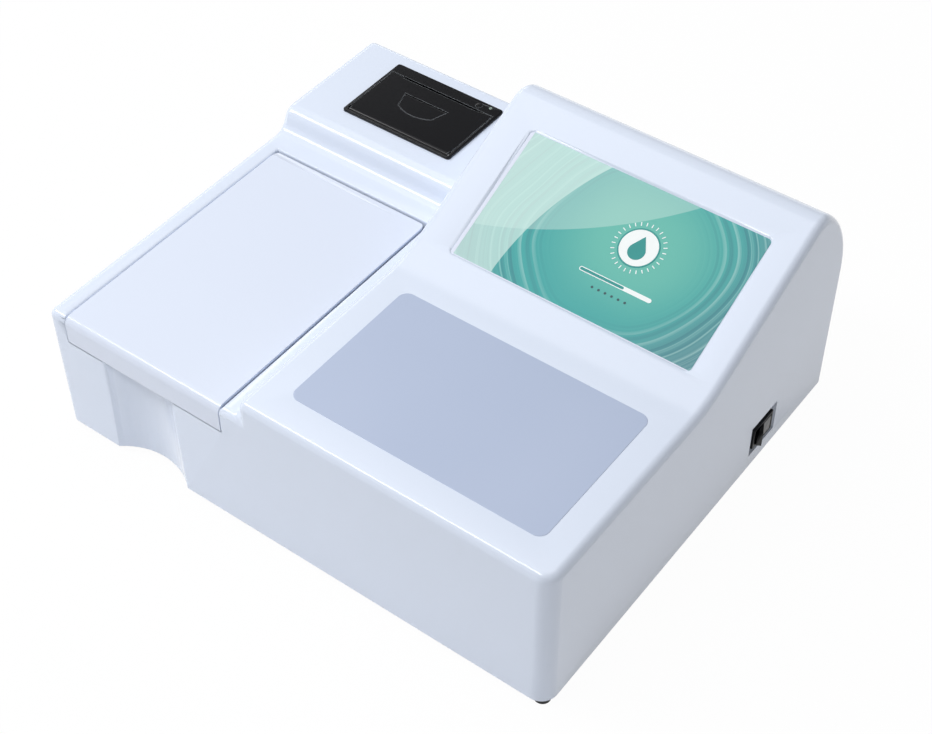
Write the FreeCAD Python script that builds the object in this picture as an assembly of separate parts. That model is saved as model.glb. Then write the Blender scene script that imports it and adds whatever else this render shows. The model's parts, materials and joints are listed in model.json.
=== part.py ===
import FreeCAD, Part
import math
import os
from FreeCAD import Placement, Rotation, Vector

# Bench-top water quality analyzer: a moulded case with a flush sample lid at the left,
# a raised podium with a small panel printer behind it, and a console at the right with
# a flat label panel and a sloping touch screen. All sizes are in millimetres.
# X runs to the right, Y to the back and Z up from the table, centred on the footprint.

# Case
deck_width = 141.0
console_width = 199.0
lid_length = 180.0
podium_length = 110.0
foot_height = 4.0
wall = 3.0
deck_height = 93.0
podium_rise = 13.5
panel_rise = 14.0
deck_edge_radius = 4.5
console_edge_radius = 5.0
console_corner_radius = 10.0
groove_radius = 6.0
console_overlap = 20.0

# Step from the deck up to the podium
riser_foot_gap = 18.0
riser_angle = 66.0
riser_foot_radius = 9.0
riser_top_radius = 10.0

# Console: flat panel, soft crease, screen slope, round ridge and long back curve
panel_depth = 140.0
crease_radius = 60.0
screen_angle = 24.2
ridge_from_back = 35.4
ridge_radius = 17.0
shoulder_angle = 40.0
shoulder_radius = 74.0

# Finger scoop in the front face
scoop_offset = 4.8
scoop_radius = 42.0
scoop_depth = 9.7

# Sample lid
lid_margin = 13.1
lid_strip = 14.5
lid_gap = 0.8
lid_rear_gap = 1.8
lid_thickness = 2.5
lid_fold_radius = 5.0
lid_corner_radius = 4.0
lip_height = 18.0
seat_chamfer = 1.5
skirt_thickness = 2.0
skirt_depth = 7.5
rib_thickness = 1.6
rib_depth = 4.0
lid_rib_count = 3

# Lid hinge
hinge_inset = 12.6
hinge_drop = 6.0
hinge_pin_radius = 1.5
hinge_ear_radius = 3.1
hinge_ear_thickness = 3.0
hinge_ear_lean = 2.0
knuckle_length = 12.0
knuckle_radius = 3.2
knuckle_inset = 16.9
running_clearance = 0.05
seat_clearance = 0.02
side_clearance = 0.3

# Basin under the lid
basin_depth = 27.0
basin_wall = 2.5
basin_floor = 3.0
rebate_depth = 3.5
front_rim_drop = 4.0

# Sample block with its cuvette wells
well_count = 6
well_size = 12.6
well_depth = 36.0
block_end = 9.0
block_width = 40.0
block_height = 41.0
block_clearance = 0.5
beam_radius = 2.5
beam_depth = 24.0
block_screw_inset = 5.0
tray_thickness = 2.0
tray_side_gap = 3.5
tray_front_gap = 14.0
tray_hinge_gap = 0.5
tray_screw_side = 8.0
tray_screw_end = 6.0
collar_side = 7.0
collar_end = 4.7
collar_margin = 1.3
collar_wall = 2.5
collar_height = 4.0
seal_thickness = 2.0
seal_gap = 0.3
screw_radius = 1.5
screw_head_radius = 2.8
screw_head_height = 1.8

# Lamps and detectors beside the block
board_thickness = 1.6
optic_board_height = 24.0
optic_board_margin = 5.0
spacer_length = 2.8
spacer_radius = 2.5
lamp_radius = 2.4
lamp_length = 6.5
detector_length = 4.5

# Label overlay on the flat panel
label_margin = 19.3
label_front_gap = 19.8
label_back_gap = 22.0
label_radius = 6.0
label_thickness = 0.65
label_recess = 0.5

# Screen window, touch glass and display
glass_margin = 17.0
glass_thickness = 1.8
window_offset = 2.0
window_front_gap = 13.9
window_ridge_gap = 24.6
window_border = 5.75
window_bevel = 2.7
window_radius = 1.5
display_thickness = 5.5
display_edge = 0.5
bracket_thickness = 1.5
bracket_wing = 8.5
display_boss_radius = 3.5
display_boss_wing = 4.5
display_boss_inset = 9.0

# Panel printer on the podium
printer_width = 81.0
printer_depth = 56.3
printer_offset = 1.3
printer_back_margin = 12.3
flange_height = 1.8
flange_radius = 2.0
flange_edge = 0.8
tub_inset = 1.1
tub_wall = 2.0
tub_clearance = 0.3
door_gap = 0.5
door_thickness = 2.0
door_back = 47.0
door_side_gap = 0.5
door_ledge = 1.2
barrel_radius = 2.4
barrel_back = 4.6
door_pin_radius = 1.0
slot_width = 58.6
slot_depth = 1.2
platen_radius = 4.0
platen_front = 4.9
platen_drop = 6.6
platen_shaft_radius = 1.5
platen_gear_radius = 3.8
cheek_thickness = 2.0
cheek_gap = 0.5
roll_radius = 14.5
roll_core_radius = 6.5
roll_bore_radius = 5.5
roll_width = 57.0
roll_back = 21.6
roll_drop = 22.3
cradle_gap = 0.3
tub_shelf_drop = 20.3
partition_height = 4.0
head_gap = 0.35
head_thickness = 4.4
head_height = 8.0
head_drop = 14.0
tab_back = 34.2
tab_length = 11.4
tab_offset = -2.2
tab_bulge = 3.7
tab_back_width = 32.2
tab_front_width = 25.0
tab_thickness = 1.6
tab_clearance = 0.35
tab_barrel_radius = 1.2
tab_pin_radius = 0.5
tab_tail_drop = 5.6
tooth_pitch = 2.0
button_radius = 2.2
button_side = 25.2
button_back = 4.2
button_travel = 0.8
lens_radius = 1.0
lens_side = 32.6
lens_back = 6.2
key_board_drop = 4.7

# Rocker switch in the right wall
pocket_length = 28.0
pocket_height = 23.0
pocket_depth = 2.4
pocket_from_back = 75.0
pocket_z = 25.5
switch_shift = 1.0
switch_drop = 2.0
bezel_length = 21.0
bezel_height = 15.0
bezel_thickness = 2.2
switch_depth = 18.0
switch_body_margin = 1.1
rocker_gap = 0.35
rocker_frame = 1.8
rocker_tilt = 26.0
rocker_pivot_depth = 1.5
rocker_pin_radius = 0.95
rocker_pin_reach = 0.5

# Rear wall: power inlet, data sockets and vents
inlet_from_side = 45.0
inlet_z = 34.0
inlet_width = 27.4
inlet_height = 19.8
inlet_flange_width = 50.0
inlet_flange_height = 22.5
inlet_flange = 2.5
inlet_depth = 20.0
inlet_cavity_depth = 15.0
inlet_wall = 1.5
inlet_screw_spacing = 40.0
usb_from_side = 100.0
usb_z = 32.0
usb_width = 13.1
usb_height = 5.7
usb_pitch = 22.0
usb_shell_length = 14.0
vent_count = 8
vent_pitch = 7.0
vent_width = 2.6
vent_height = 26.0
vent_from_side = 150.0
vent_z = 64.0

# Base plate, feet and case screws
base_thickness = 2.5
base_clearance = 0.3
foot_radius = 5.6
foot_inset = 7.0
boss_radius = 4.8
boss_height = 46.0
thread_radius = 1.6
base_slot_count = 9
base_slot_length = 46.0
base_slot_width = 3.0
base_slot_pitch = 9.0
base_slot_from_side = 88.0
base_slot_from_back = 79.0

# Electronics on the base plate
board_width = 150.0
board_depth = 96.0
board_shift = 1.5
board_from_front = 73.0
standoff_height = 9.0
standoff_radius = 3.0
board_hole_inset = 5.0
supply_width = 92.0
supply_depth = 62.0
supply_height = 30.0
supply_shift = -30.5
supply_from_back = 115.0
supply_sheet = 1.2

# Places that follow from the sizes above
body_width = deck_width + console_width
body_depth = lid_length + podium_length
left = -body_width / 2
right = body_width / 2
front = -body_depth / 2
back = body_depth / 2
podium_height = deck_height + podium_rise
panel_height = deck_height + panel_rise
base_top = foot_height + base_thickness
slope = math.radians(screen_angle)
console_left = left + deck_width
console_centre_x = (console_left + right) / 2
crease_y = front + panel_depth
ridge_y = back - ridge_from_back
floor_top = deck_height - basin_depth
lid_left = left + lid_margin
lid_right = console_left - lid_strip
lid_width = lid_right - lid_left
lid_centre_x = (lid_left + lid_right) / 2
lid_back_y = front + lid_length
riser_foot_y = lid_back_y + riser_foot_gap
seat_left = lid_left - lid_gap
seat_right = lid_right + lid_gap
seat_back = lid_back_y + lid_rear_gap
lip_bottom = deck_height - lip_height
lid_under = deck_height - lid_thickness
rim_front = front + rebate_depth
rim_top = deck_height - front_rim_drop
hinge_y = lid_back_y - hinge_inset
hinge_z = deck_height - hinge_drop
knuckle_spread = lid_width - 2 * knuckle_inset
scoop_centre_x = lid_centre_x - scoop_offset
scoop_centre_y = front + scoop_depth - scoop_radius
tray_top = floor_top + tray_thickness
tray_front_y = front + tray_front_gap
tray_back_y = hinge_y - hinge_ear_radius - tray_hinge_gap
block_centre_y = front + lid_length / 2
collar_length = 2 * (tray_back_y - block_centre_y - collar_margin)
block_length = collar_length - 2 * collar_end
well_pitch = (block_length - well_size - 2 * block_end) / (well_count - 1)
collar_width = block_width + 2 * collar_side
collar_top = tray_top + collar_height
label_width = console_width - 2 * label_margin
label_depth = panel_depth - label_front_gap - label_back_gap
label_centre_y = front + label_front_gap + label_depth / 2
glass_width = console_width - 2 * glass_margin
window_centre_x = console_centre_x + window_offset
window_span = ridge_y - crease_y - window_front_gap - window_ridge_gap
window_centre_y = crease_y + window_front_gap + window_span / 2
window_width = glass_width - 2 * window_border
window_length = window_span / math.cos(slope)
glass_length = window_length + 2 * window_border
bracket_width = glass_width + 2 * bracket_wing
display_boss_x = glass_width / 2 + display_boss_wing
display_boss_v = glass_length / 2 - display_boss_inset
flange_top = podium_height + flange_height
printer_centre_x = (left + console_left) / 2 + printer_offset
printer_left = printer_centre_x - printer_width / 2
printer_right = printer_centre_x + printer_width / 2
printer_back_y = back - printer_back_margin
printer_front_y = printer_back_y - printer_depth
door_back_y = printer_front_y + door_back
barrel_y = printer_front_y + barrel_back
platen_y = door_back_y - platen_front
roll_y = printer_front_y + roll_back
tab_back_y = printer_front_y + tab_back
tab_front_y = tab_back_y - tab_length
tab_centre_x = printer_centre_x + tab_offset
button_x = printer_centre_x + button_side
button_y = door_back_y + button_back
lens_x = printer_centre_x + lens_side
lens_y = door_back_y + lens_back
tub_left = printer_left + tub_inset
tub_right = printer_right - tub_inset
tub_front = printer_front_y + tub_inset
tub_back = printer_back_y - tub_inset
tub_inner_left = tub_left + tub_wall
tub_inner_right = tub_right - tub_wall
shelf_z = flange_top - tub_shelf_drop
barrel_z = flange_top - barrel_radius
door_left = tub_inner_left - door_ledge + door_side_gap
door_right = tub_inner_right + door_ledge - door_side_gap
door_under = flange_top - door_thickness
platen_z = flange_top - platen_drop
roll_z = flange_top - roll_drop
strip_front = door_back_y + door_gap
pocket_y = back - pocket_from_back
switch_y = pocket_y + switch_shift
switch_z = pocket_z - switch_drop
switch_body_length = bezel_length - 2 * switch_body_margin
switch_body_height = bezel_height - 2 * switch_body_margin
rocker_face = right - pocket_depth + bezel_thickness
inlet_x = right - inlet_from_side
inlet_cavity_width = inlet_width - 2 * inlet_wall
inlet_cavity_height = inlet_height - 2 * inlet_wall - 0.4
usb_x = right - usb_from_side
vent_x = right - vent_from_side
base_slot_x = right - base_slot_from_side
base_slot_y = back - base_slot_from_back
board_centre_x = console_centre_x + board_shift
board_centre_y = front + board_from_front
supply_centre_x = console_centre_x + supply_shift
supply_centre_y = back - supply_from_back


def box(x1, x2, y1, y2, z1, z2):
    return Part.makeBox(x2 - x1, y2 - y1, z2 - z1, Vector(x1, y1, z1))


def centred_box(x, y, width, depth, z1, z2):
    return box(x - width / 2, x + width / 2, y - depth / 2, y + depth / 2, z1, z2)


def rod(start, end, radius):
    axis = end - start
    return Part.makeCylinder(radius, axis.Length, start, axis)


def hex_rod(start, end, radius):
    # A six-sided bar between two points, for spacers and screw heads.
    axis = end - start
    turn = Rotation(Vector(0, 0, 1), axis)
    points = []
    for i in range(7):
        angle = i * math.pi / 3
        points.append(start + turn.multVec(Vector(radius * math.cos(angle), radius * math.sin(angle), 0)))
    return Part.Face(Part.makePolygon(points)).extrude(axis)


def upright(x, y, z1, z2, radius):
    return rod(Vector(x, y, z1), Vector(x, y, z2), radius)


def across(y, z, x1, x2, radius):
    return rod(Vector(x1, y, z), Vector(x2, y, z), radius)


def fuse_all(shapes):
    return shapes[0].multiFuse(shapes[1:]).removeSplitter()


def rounded_wire(corners):
    # A closed outline through the corners, each one rounded by its own radius.
    starts = []
    middles = []
    ends = []
    count = len(corners)
    for i in range(count):
        point, radius = corners[i]
        into = (corners[i - 1][0] - point).normalize()
        out = (corners[(i + 1) % count][0] - point).normalize()
        if radius == 0:
            starts.append(point)
            middles.append(None)
            ends.append(point)
            continue
        half = into.getAngle(out) / 2
        reach = radius / math.tan(half)
        inward = (into + out).normalize()
        starts.append(point + into * reach)
        middles.append(point + inward * (radius / math.sin(half) - radius))
        ends.append(point + out * reach)
    edges = []
    for i in range(count):
        if middles[i] is not None:
            edges.append(Part.Arc(starts[i], middles[i], ends[i]).toShape())
        following = starts[(i + 1) % count]
        if (following - ends[i]).Length > 1e-6:
            edges.append(Part.makeLine(ends[i], following))
    return Part.Wire(edges)


def rounded_plate(x1, x2, y1, y2, z1, z2, radius):
    corners = []
    for x, y in ((x1, y1), (x2, y1), (x2, y2), (x1, y2)):
        corners.append((Vector(x, y, z1), radius))
    return Part.Face(rounded_wire(corners)).extrude(Vector(0, 0, z2 - z1))


def rounded_ring(x1, x2, y1, y2, z1, z2, radius, thickness):
    outer = rounded_plate(x1, x2, y1, y2, z1, z2, radius)
    t = thickness
    inner_radius = max(radius - t, 0)
    inner = rounded_plate(x1 + t, x2 - t, y1 + t, y2 - t, z1 - 1, z2 + 1, inner_radius)
    return outer.cut(inner)


def funnel(x1, x2, y1, y2, z1, z2, spread, radius):
    # A rectangular cut that widens upwards by the spread on each side.
    low = rounded_wire([(Vector(x, y, z1), radius) for x, y in ((x1, y1), (x2, y1), (x2, y2), (x1, y2))])
    s = spread
    wide = ((x1 - s, y1 - s), (x2 + s, y1 - s), (x2 + s, y2 + s), (x1 - s, y2 + s))
    high = rounded_wire([(Vector(x, y, z2), radius + s) for x, y in wide])
    return Part.makeLoft([low, high], True, True)


def side_solid(profile, inset, x1, x2):
    # A solid with a side view given as (y, z, corner radius), moved inwards by the inset.
    wire = rounded_wire([(Vector(0, y, z), radius) for y, z, radius in profile])
    if inset:
        wire = wire.makeOffset2D(-inset, 2)
    face = Part.Face(wire)
    face.translate(Vector(x1, 0, 0))
    return face.extrude(Vector(x2 - x1, 0, 0))


def on_slope(shape):
    # Moves a shape drawn flat at the origin onto the middle of the screen slope.
    rise = panel_height + (window_centre_y - crease_y) * math.tan(slope)
    turned = shape.copy()
    turned.Placement = Placement(
        Vector(window_centre_x, window_centre_y, rise), Rotation(Vector(1, 0, 0), screen_angle)
    )
    return turned


def face_tilt(shape, edge, face):
    # How far the face's normal points up at the middle of the edge.
    middle = edge.valueAt((edge.FirstParameter + edge.LastParameter) / 2)
    u, v = face.Surface.parameter(middle)
    return abs(face.normalAt(u, v).z)


def console_block(inset, bottom):
    rise = math.tan(slope)
    ridge_z = panel_height + (ridge_y - crease_y) * rise
    shoulder_z = ridge_z - (back - ridge_y) * math.tan(math.radians(shoulder_angle))
    profile = [
        (front, bottom, 0),
        (front, panel_height, 0),
        (crease_y, panel_height, crease_radius),
        (ridge_y, ridge_z, ridge_radius),
        (back, shoulder_z, shoulder_radius),
        (back, bottom, 0),
    ]
    block = side_solid(profile, inset, console_left + inset, right - inset)
    corner = []
    for edge in block.Edges:
        bounds = edge.BoundBox
        if bounds.XMin > right - inset - 0.01 and bounds.YMax < front + inset + 0.01:
            corner.append(edge)
    return block.makeFillet(console_corner_radius - inset, corner)


def console_form():
    # The console with its sides and its front fold rounded.
    block = console_block(0, foot_height)
    rounded = []
    reach = console_corner_radius + 0.01
    for edge in block.Edges:
        bounds = edge.BoundBox
        on_corner = bounds.XMin > right - reach and bounds.YMax < front + reach and bounds.YLength < 0.001
        if bounds.ZMax < foot_height + 0.01 or on_corner:
            continue
        on_side = bounds.XLength < 0.001
        on_fold = bounds.YMax < front + 0.01 and bounds.ZMin > panel_height - 0.01
        if on_side or on_fold:
            rounded.append(edge)
    return block.makeFillet(console_edge_radius, rounded)


def deck_block(inset, bottom):
    riser_top_y = riser_foot_y + podium_rise / math.tan(math.radians(riser_angle))
    profile = [
        (front, bottom, 0),
        (front, deck_height, 0),
        (riser_foot_y, deck_height, riser_foot_radius),
        (riser_top_y, podium_height, riser_top_radius),
        (back, podium_height, 0),
        (back, bottom, 0),
    ]
    return side_solid(profile, inset, left + inset, console_left + console_overlap)


def deck_form():
    # The deck, riser and podium with their outer edges rounded.
    block = deck_block(0, foot_height)
    inner_end = console_left + console_overlap
    rounded = []
    for edge in block.Edges:
        bounds = edge.BoundBox
        if bounds.ZMax < foot_height + 0.01 or bounds.XMin > inner_end - 0.01:
            continue
        if bounds.XMax < left + 0.01 and bounds.YLength < 0.001:
            rounded.append(edge)
            continue
        tilts = [face_tilt(block, edge, face) for face in block.ancestorsOfType(edge, Part.Face)]
        if len(tilts) == 2 and min(tilts) < 0.05 and max(tilts) > 0.3:
            rounded.append(edge)
    return block.makeFillet(deck_edge_radius, rounded)


def case_form():
    # The outer form of the case, with the soft groove where the console leaves the deck.
    form = console_form().fuse(deck_form()).removeSplitter()
    groove = []
    for edge in form.Edges:
        bounds = edge.BoundBox
        if bounds.XLength > 0.001 or abs(bounds.XMin - console_left) > 0.001:
            continue
        if bounds.ZMin < deck_height - 0.01 or bounds.ZMax > podium_height + 0.01:
            continue
        if bounds.YMin < front + console_edge_radius - 0.01 or bounds.YLength < 0.001:
            continue
        if bounds.YMin < riser_foot_y - 2 * riser_foot_radius and bounds.ZMin > deck_height + 0.01:
            continue
        groove.append(edge)
    return form.makeFillet(groove_radius, groove)


def scoop_form(growth, z1, z2):
    return upright(scoop_centre_x, scoop_centre_y, z1, z2, scoop_radius + growth)


def case_cavity():
    # The hollow inside the case, leaving the basin, the scoop wall and the switch pocket.
    low = foot_height - 4 * wall
    hollow = console_block(wall, low).fuse(deck_block(wall, low))
    w = basin_wall
    basin = box(
        seat_left - w, seat_right + w, front - 1, seat_back + w, floor_top - basin_floor, podium_height
    )
    pocket = box(
        right - pocket_depth - wall, right,
        pocket_y - pocket_length / 2 - wall, pocket_y + pocket_length / 2 + wall,
        pocket_z - pocket_height / 2 - wall, pocket_z + pocket_height / 2 + wall,
    )
    return hollow.cut(fuse_all([basin, scoop_form(basin_wall, low - wall, floor_top), pocket]))


def lid_seat_cut():
    # The basin, the rebate behind the lip and the widened seat round the lid.
    above = podium_height + 10
    basin = box(seat_left, seat_right, rim_front + wall, seat_back, floor_top, above)
    basin = basin.cut(scoop_form(basin_wall, floor_top - 1, above))
    rim = box(seat_left, seat_right, front - 1, seat_back, rim_top, above)
    rebate = box(seat_left, seat_right, front - 1, rim_front, lip_bottom - lid_gap, above)
    seat = funnel(
        seat_left, seat_right, front - 4 * wall, seat_back,
        deck_height - seat_chamfer, deck_height + seat_chamfer, 2 * seat_chamfer, 0.5,
    )
    return fuse_all([basin, rim, rebate, seat])


def hinge_x_places():
    return (lid_centre_x - knuckle_spread / 2, lid_centre_x + knuckle_spread / 2)


def hinge_ears():
    # Upright ears on the basin floor, two for each lid knuckle.
    ears = []
    radius = hinge_ear_radius
    for middle in hinge_x_places():
        for side in (-1, 1):
            near = middle + side * (knuckle_length / 2 + side_clearance)
            far = near + side * hinge_ear_thickness
            outline = [
                (Vector(min(near, far), hinge_y + radius - hinge_ear_lean, floor_top - 1), 0),
                (Vector(min(near, far), hinge_y + radius, hinge_z + radius), radius * 0.9),
                (Vector(min(near, far), hinge_y - radius, hinge_z + radius), radius * 0.9),
                (Vector(min(near, far), hinge_y - radius, floor_top - 1), 0),
            ]
            ear = Part.Face(rounded_wire(outline)).extrude(Vector(hinge_ear_thickness, 0, 0))
            hole_radius = hinge_pin_radius + seat_clearance
            hole = across(hinge_y, hinge_z, min(near, far) - 1, max(near, far) + 1, hole_radius)
            ears.append(ear.cut(hole))
    return ears


def foot_places():
    x = body_width / 2 - foot_inset
    y = body_depth / 2 - foot_inset
    return ((-x, -y), (x, -y), (x, y), (-x, y))


def case_bosses():
    bosses = []
    for x, y in foot_places():
        boss = upright(x, y, base_top, base_top + boss_height, boss_radius)
        bosses.append(boss.cut(upright(x, y, base_top - 1, base_top + boss_height - wall, thread_radius)))
    return bosses


def display_places():
    return [(x, v) for x in (-display_boss_x, display_boss_x) for v in (-display_boss_v, display_boss_v)]


def display_bosses():
    # Bosses under the sloping roof that carry the display bracket.
    bosses = []
    depth = wall + glass_thickness + display_thickness
    for x, v in display_places():
        boss = upright(x, v, -depth, -wall / 2, display_boss_radius)
        boss = boss.cut(upright(x, v, -depth - 1, -wall, screw_radius + seat_clearance))
        bosses.append(on_slope(boss))
    return bosses


def case_ribs():
    # Gussets between the basin and the outer walls of the case.
    ribs = []
    count = 4
    span = (seat_back - front) / (count + 1)
    for i in range(count):
        y = front + (i + 1) * span
        ribs.append(box(
            left + wall / 2, seat_left - basin_wall / 2, y, y + rib_thickness, floor_top,
            deck_height - wall / 2
        ))
    for x in (seat_left, lid_centre_x, seat_right):
        ribs.append(box(
            x, x + rib_thickness, seat_back + basin_wall / 2, riser_foot_y, floor_top,
            deck_height - wall / 2
        ))
    return ribs


def window_cut():
    # The screen window, bevelled through the roof, with a straight lower edge.
    half_w = window_width / 2
    half_l = window_length / 2
    spread = window_bevel * (wall + 1) / wall
    cut = funnel(-half_w, half_w, -half_l, half_l, -wall, 1, spread, window_radius)
    through = rounded_plate(-half_w, half_w, -half_l, half_l, -wall - 1, -wall + 0.01, window_radius)
    return on_slope(cut.fuse(through))


def rear_cuts():
    # Openings in the rear wall for the power inlet, data sockets and vents.
    cuts = []
    cuts.append(box(
        inlet_x - inlet_width / 2, inlet_x + inlet_width / 2, back - 2 * wall, back + 1,
        inlet_z - inlet_height / 2, inlet_z + inlet_height / 2,
    ))
    for side in (-1, 1):
        x = inlet_x + side * inlet_screw_spacing / 2
        cuts.append(rod(
            Vector(x, back - 2 * wall, inlet_z), Vector(x, back + 1, inlet_z), screw_radius + 0.1
        ))
    for i in range(2):
        x = usb_x + (i - 0.5) * usb_pitch
        half = usb_width / 2 + seat_clearance
        tall = usb_height / 2 + seat_clearance
        cuts.append(box(x - half, x + half, back - 2 * wall, back + 1, usb_z - tall, usb_z + tall))
    for i in range(vent_count):
        x = vent_x + (i - (vent_count - 1) / 2) * vent_pitch
        cuts.append(box(
            x - vent_width / 2, x + vent_width / 2, back - 2 * wall, back + 1,
            vent_z - vent_height / 2, vent_z + vent_height / 2,
        ))
    return cuts


def switch_cuts():
    # The bevelled pocket round the switch, and the hole for its body.
    half_l = pocket_length / 2
    half_h = pocket_height / 2
    pocket = box(
        right - pocket_depth, right + 1, pocket_y - half_l, pocket_y + half_l, pocket_z - half_h,
        pocket_z + half_h
    )
    half_l = switch_body_length / 2 + seat_clearance
    half_h = switch_body_height / 2 + seat_clearance
    hole = box(
        right - pocket_depth - 2 * wall, right, switch_y - half_l, switch_y + half_l,
        switch_z - half_h, switch_z + half_h,
    )
    return [pocket, hole]


def tray_screw_places():
    x1 = seat_left + tray_side_gap + tray_screw_side
    x2 = seat_right - tray_side_gap - tray_screw_side
    y1 = tray_front_y + tray_screw_end
    y2 = tray_back_y - tray_screw_end
    return ((x1, y1), (x2, y1), (x1, y2), (x2, y2))


def block_bounds(growth):
    half_w = block_width / 2 + growth
    half_l = block_length / 2 + growth
    return (lid_centre_x - half_w, lid_centre_x + half_w, block_centre_y - half_l, block_centre_y + half_l)


def make_upper_housing():
    housing = case_form().cut(case_cavity())
    housing = fuse_all([housing] + hinge_ears() + case_bosses() + display_bosses() + case_ribs())
    cuts = [lid_seat_cut_keeping_ears()]
    cuts.append(scoop_form(0, foot_height - 1, rim_top + 1))
    x1, x2, y1, y2 = block_bounds(block_clearance)
    cuts.append(box(x1, x2, y1, y2, floor_top - basin_floor - 1, floor_top + 1))
    for x, y in tray_screw_places():
        cuts.append(upright(
            x, y, floor_top - basin_floor - 1, floor_top + 1, screw_radius + seat_clearance
        ))
    half_w = label_width / 2
    y1 = label_centre_y - label_depth / 2
    y2 = label_centre_y + label_depth / 2
    x = console_centre_x
    cuts.append(rounded_plate(
        x - half_w, x + half_w, y1, y2, panel_height - label_recess, panel_height + 1, label_radius
    ))
    cuts.append(window_cut())
    c = tub_clearance
    cuts.append(box(
        tub_left - c, tub_right + c, tub_front - c, tub_back + c, podium_height - 2 * wall,
        podium_height + 1
    ))
    cuts.extend(rear_cuts())
    cuts.extend(switch_cuts())
    return housing.cut(fuse_all(cuts))


def lid_seat_cut_keeping_ears():
    cut = lid_seat_cut()
    for ear in hinge_ears():
        cut = cut.cut(ear)
    return cut


def make_base_plate():
    gap = wall + base_clearance
    corners = [
        (Vector(left + gap, front + gap, foot_height), deck_edge_radius - gap),
        (Vector(right - gap, front + gap, foot_height), console_corner_radius - gap),
        (Vector(right - gap, back - gap, foot_height), console_edge_radius - gap),
        (Vector(left + gap, back - gap, foot_height), deck_edge_radius - gap),
    ]
    plate = Part.Face(rounded_wire(corners)).extrude(Vector(0, 0, base_thickness))
    holes = [scoop_form(basin_wall + base_clearance, foot_height - 1, base_top + 1)]
    for x, y in foot_places():
        holes.append(upright(x, y, foot_height - 1, base_top + 1, screw_radius + 0.1))
    for i in range(base_slot_count):
        x = base_slot_x + (i - (base_slot_count - 1) / 2) * base_slot_pitch
        w = base_slot_width / 2
        half = base_slot_length / 2
        holes.append(box(
            x - w, x + w, base_slot_y - half, base_slot_y + half, foot_height - 1, base_top + 1
        ))
    return plate.cut(fuse_all(holes))


def make_rubber_feet():
    feet = []
    for x, y in foot_places():
        foot = Part.makeCone(foot_radius - 0.8, foot_radius, foot_height, Vector(x, y, 0))
        foot = foot.cut(upright(x, y, -1, foot_height + 1, screw_radius + 0.1))
        feet.append(foot.cut(upright(x, y, -1, foot_height / 2, screw_head_radius + 0.3)))
    return Part.Compound(feet)


def screw(x, y, head_z, shank_top):
    # A six-sided screw that points up, its head under head_z.
    head = hex_rod(Vector(x, y, head_z - screw_head_height), Vector(x, y, head_z), screw_head_radius)
    return head.fuse(upright(x, y, head_z - 0.1, shank_top, screw_radius))


def screw_down(x, y, seat_z, shank_bottom):
    # A six-sided screw that points down, its head on seat_z.
    head = hex_rod(Vector(x, y, seat_z), Vector(x, y, seat_z + screw_head_height), screw_head_radius)
    return head.fuse(upright(x, y, shank_bottom, seat_z + 0.1, screw_radius))


def make_foot_screws():
    return Part.Compound([screw(x, y, foot_height / 2, base_top + 12) for x, y in foot_places()])


def make_label_panel():
    c = seat_clearance
    half_w = label_width / 2 - c
    half_d = label_depth / 2 - c
    x = console_centre_x
    y = label_centre_y
    z = panel_height - label_recess
    return rounded_plate(
        x - half_w, x + half_w, y - half_d, y + half_d, z, z + label_thickness, label_radius - c
    )


def make_touch_panel():
    z = -wall
    plate = rounded_plate(
        -glass_width / 2, glass_width / 2, -glass_length / 2, glass_length / 2, z - glass_thickness, z, 2.0
    )
    return on_slope(plate)


def make_display_module():
    z = -wall - glass_thickness
    half_w = glass_width / 2 - display_edge
    half_l = glass_length / 2 - display_edge
    case = rounded_plate(-half_w, half_w, -half_l, half_l, z - display_thickness, z, 1.0)
    board = box(
        -half_w + 20, half_w - 20, -half_l + 15, half_l - 15, z - display_thickness - 1.2,
        z - display_thickness
    )
    return on_slope(case.fuse(board))


def make_display_bracket():
    # A sheet frame with a window, folded rims and a hole at each boss.
    z = -wall - glass_thickness - display_thickness
    half_w = bracket_width / 2
    half_l = glass_length / 2
    t = bracket_thickness
    sheet = rounded_plate(-half_w, half_w, -half_l, half_l, z - t, z, 3.0)
    window = rounded_plate(
        -glass_width / 2 + 16, glass_width / 2 - 16, -half_l + 12, half_l - 12, z - t - 1, z + 1, 4.0
    )
    rims = []
    for v in (-half_l, half_l):
        rims.append(box(-half_w + 6, half_w - 6, v - t / 2, v + t / 2, z - 8, z))
    frame = fuse_all([sheet.cut(window)] + rims)
    for x, v in display_places():
        frame = frame.cut(upright(x, v, z - t - 1, z + 1, screw_radius + 0.1))
    return on_slope(frame)


def make_display_screws():
    z = -wall - glass_thickness - display_thickness - bracket_thickness
    return Part.Compound([on_slope(screw(x, v, z, -wall - 0.5)) for x, v in display_places()])


def well_places():
    first = block_centre_y - (well_count - 1) * well_pitch / 2
    return [first + i * well_pitch for i in range(well_count)]


def block_screw_places():
    x1, x2, y1, y2 = block_bounds(-block_screw_inset)
    return ((x1, y1), (x2, y1), (x1, y2), (x2, y2))


def make_cuvette_block():
    x1, x2, y1, y2 = block_bounds(0)
    block = box(x1, x2, y1, y2, floor_top - block_height, floor_top)
    half = well_size / 2
    beam_z = floor_top - beam_depth
    cuts = []
    for y in well_places():
        cuts.append(box(
            lid_centre_x - half, lid_centre_x + half, y - half, y + half,
            tray_top - well_depth, floor_top + 1,
        ))
        cuts.append(across(y, beam_z, x1 - 1, x2 + 1, beam_radius))
    for x, y in block_screw_places():
        cuts.append(upright(x, y, floor_top - 10, floor_top + 1, screw_radius + seat_clearance))
    for x, side in ((x1, 1), (x2, -1)):
        for y in spacer_places():
            inner = x + side * 6
            cuts.append(across(
                y, beam_z, min(x, inner) - 0.01, max(x, inner) + 0.01, screw_radius + seat_clearance
            ))
    return block.cut(fuse_all(cuts))


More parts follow.
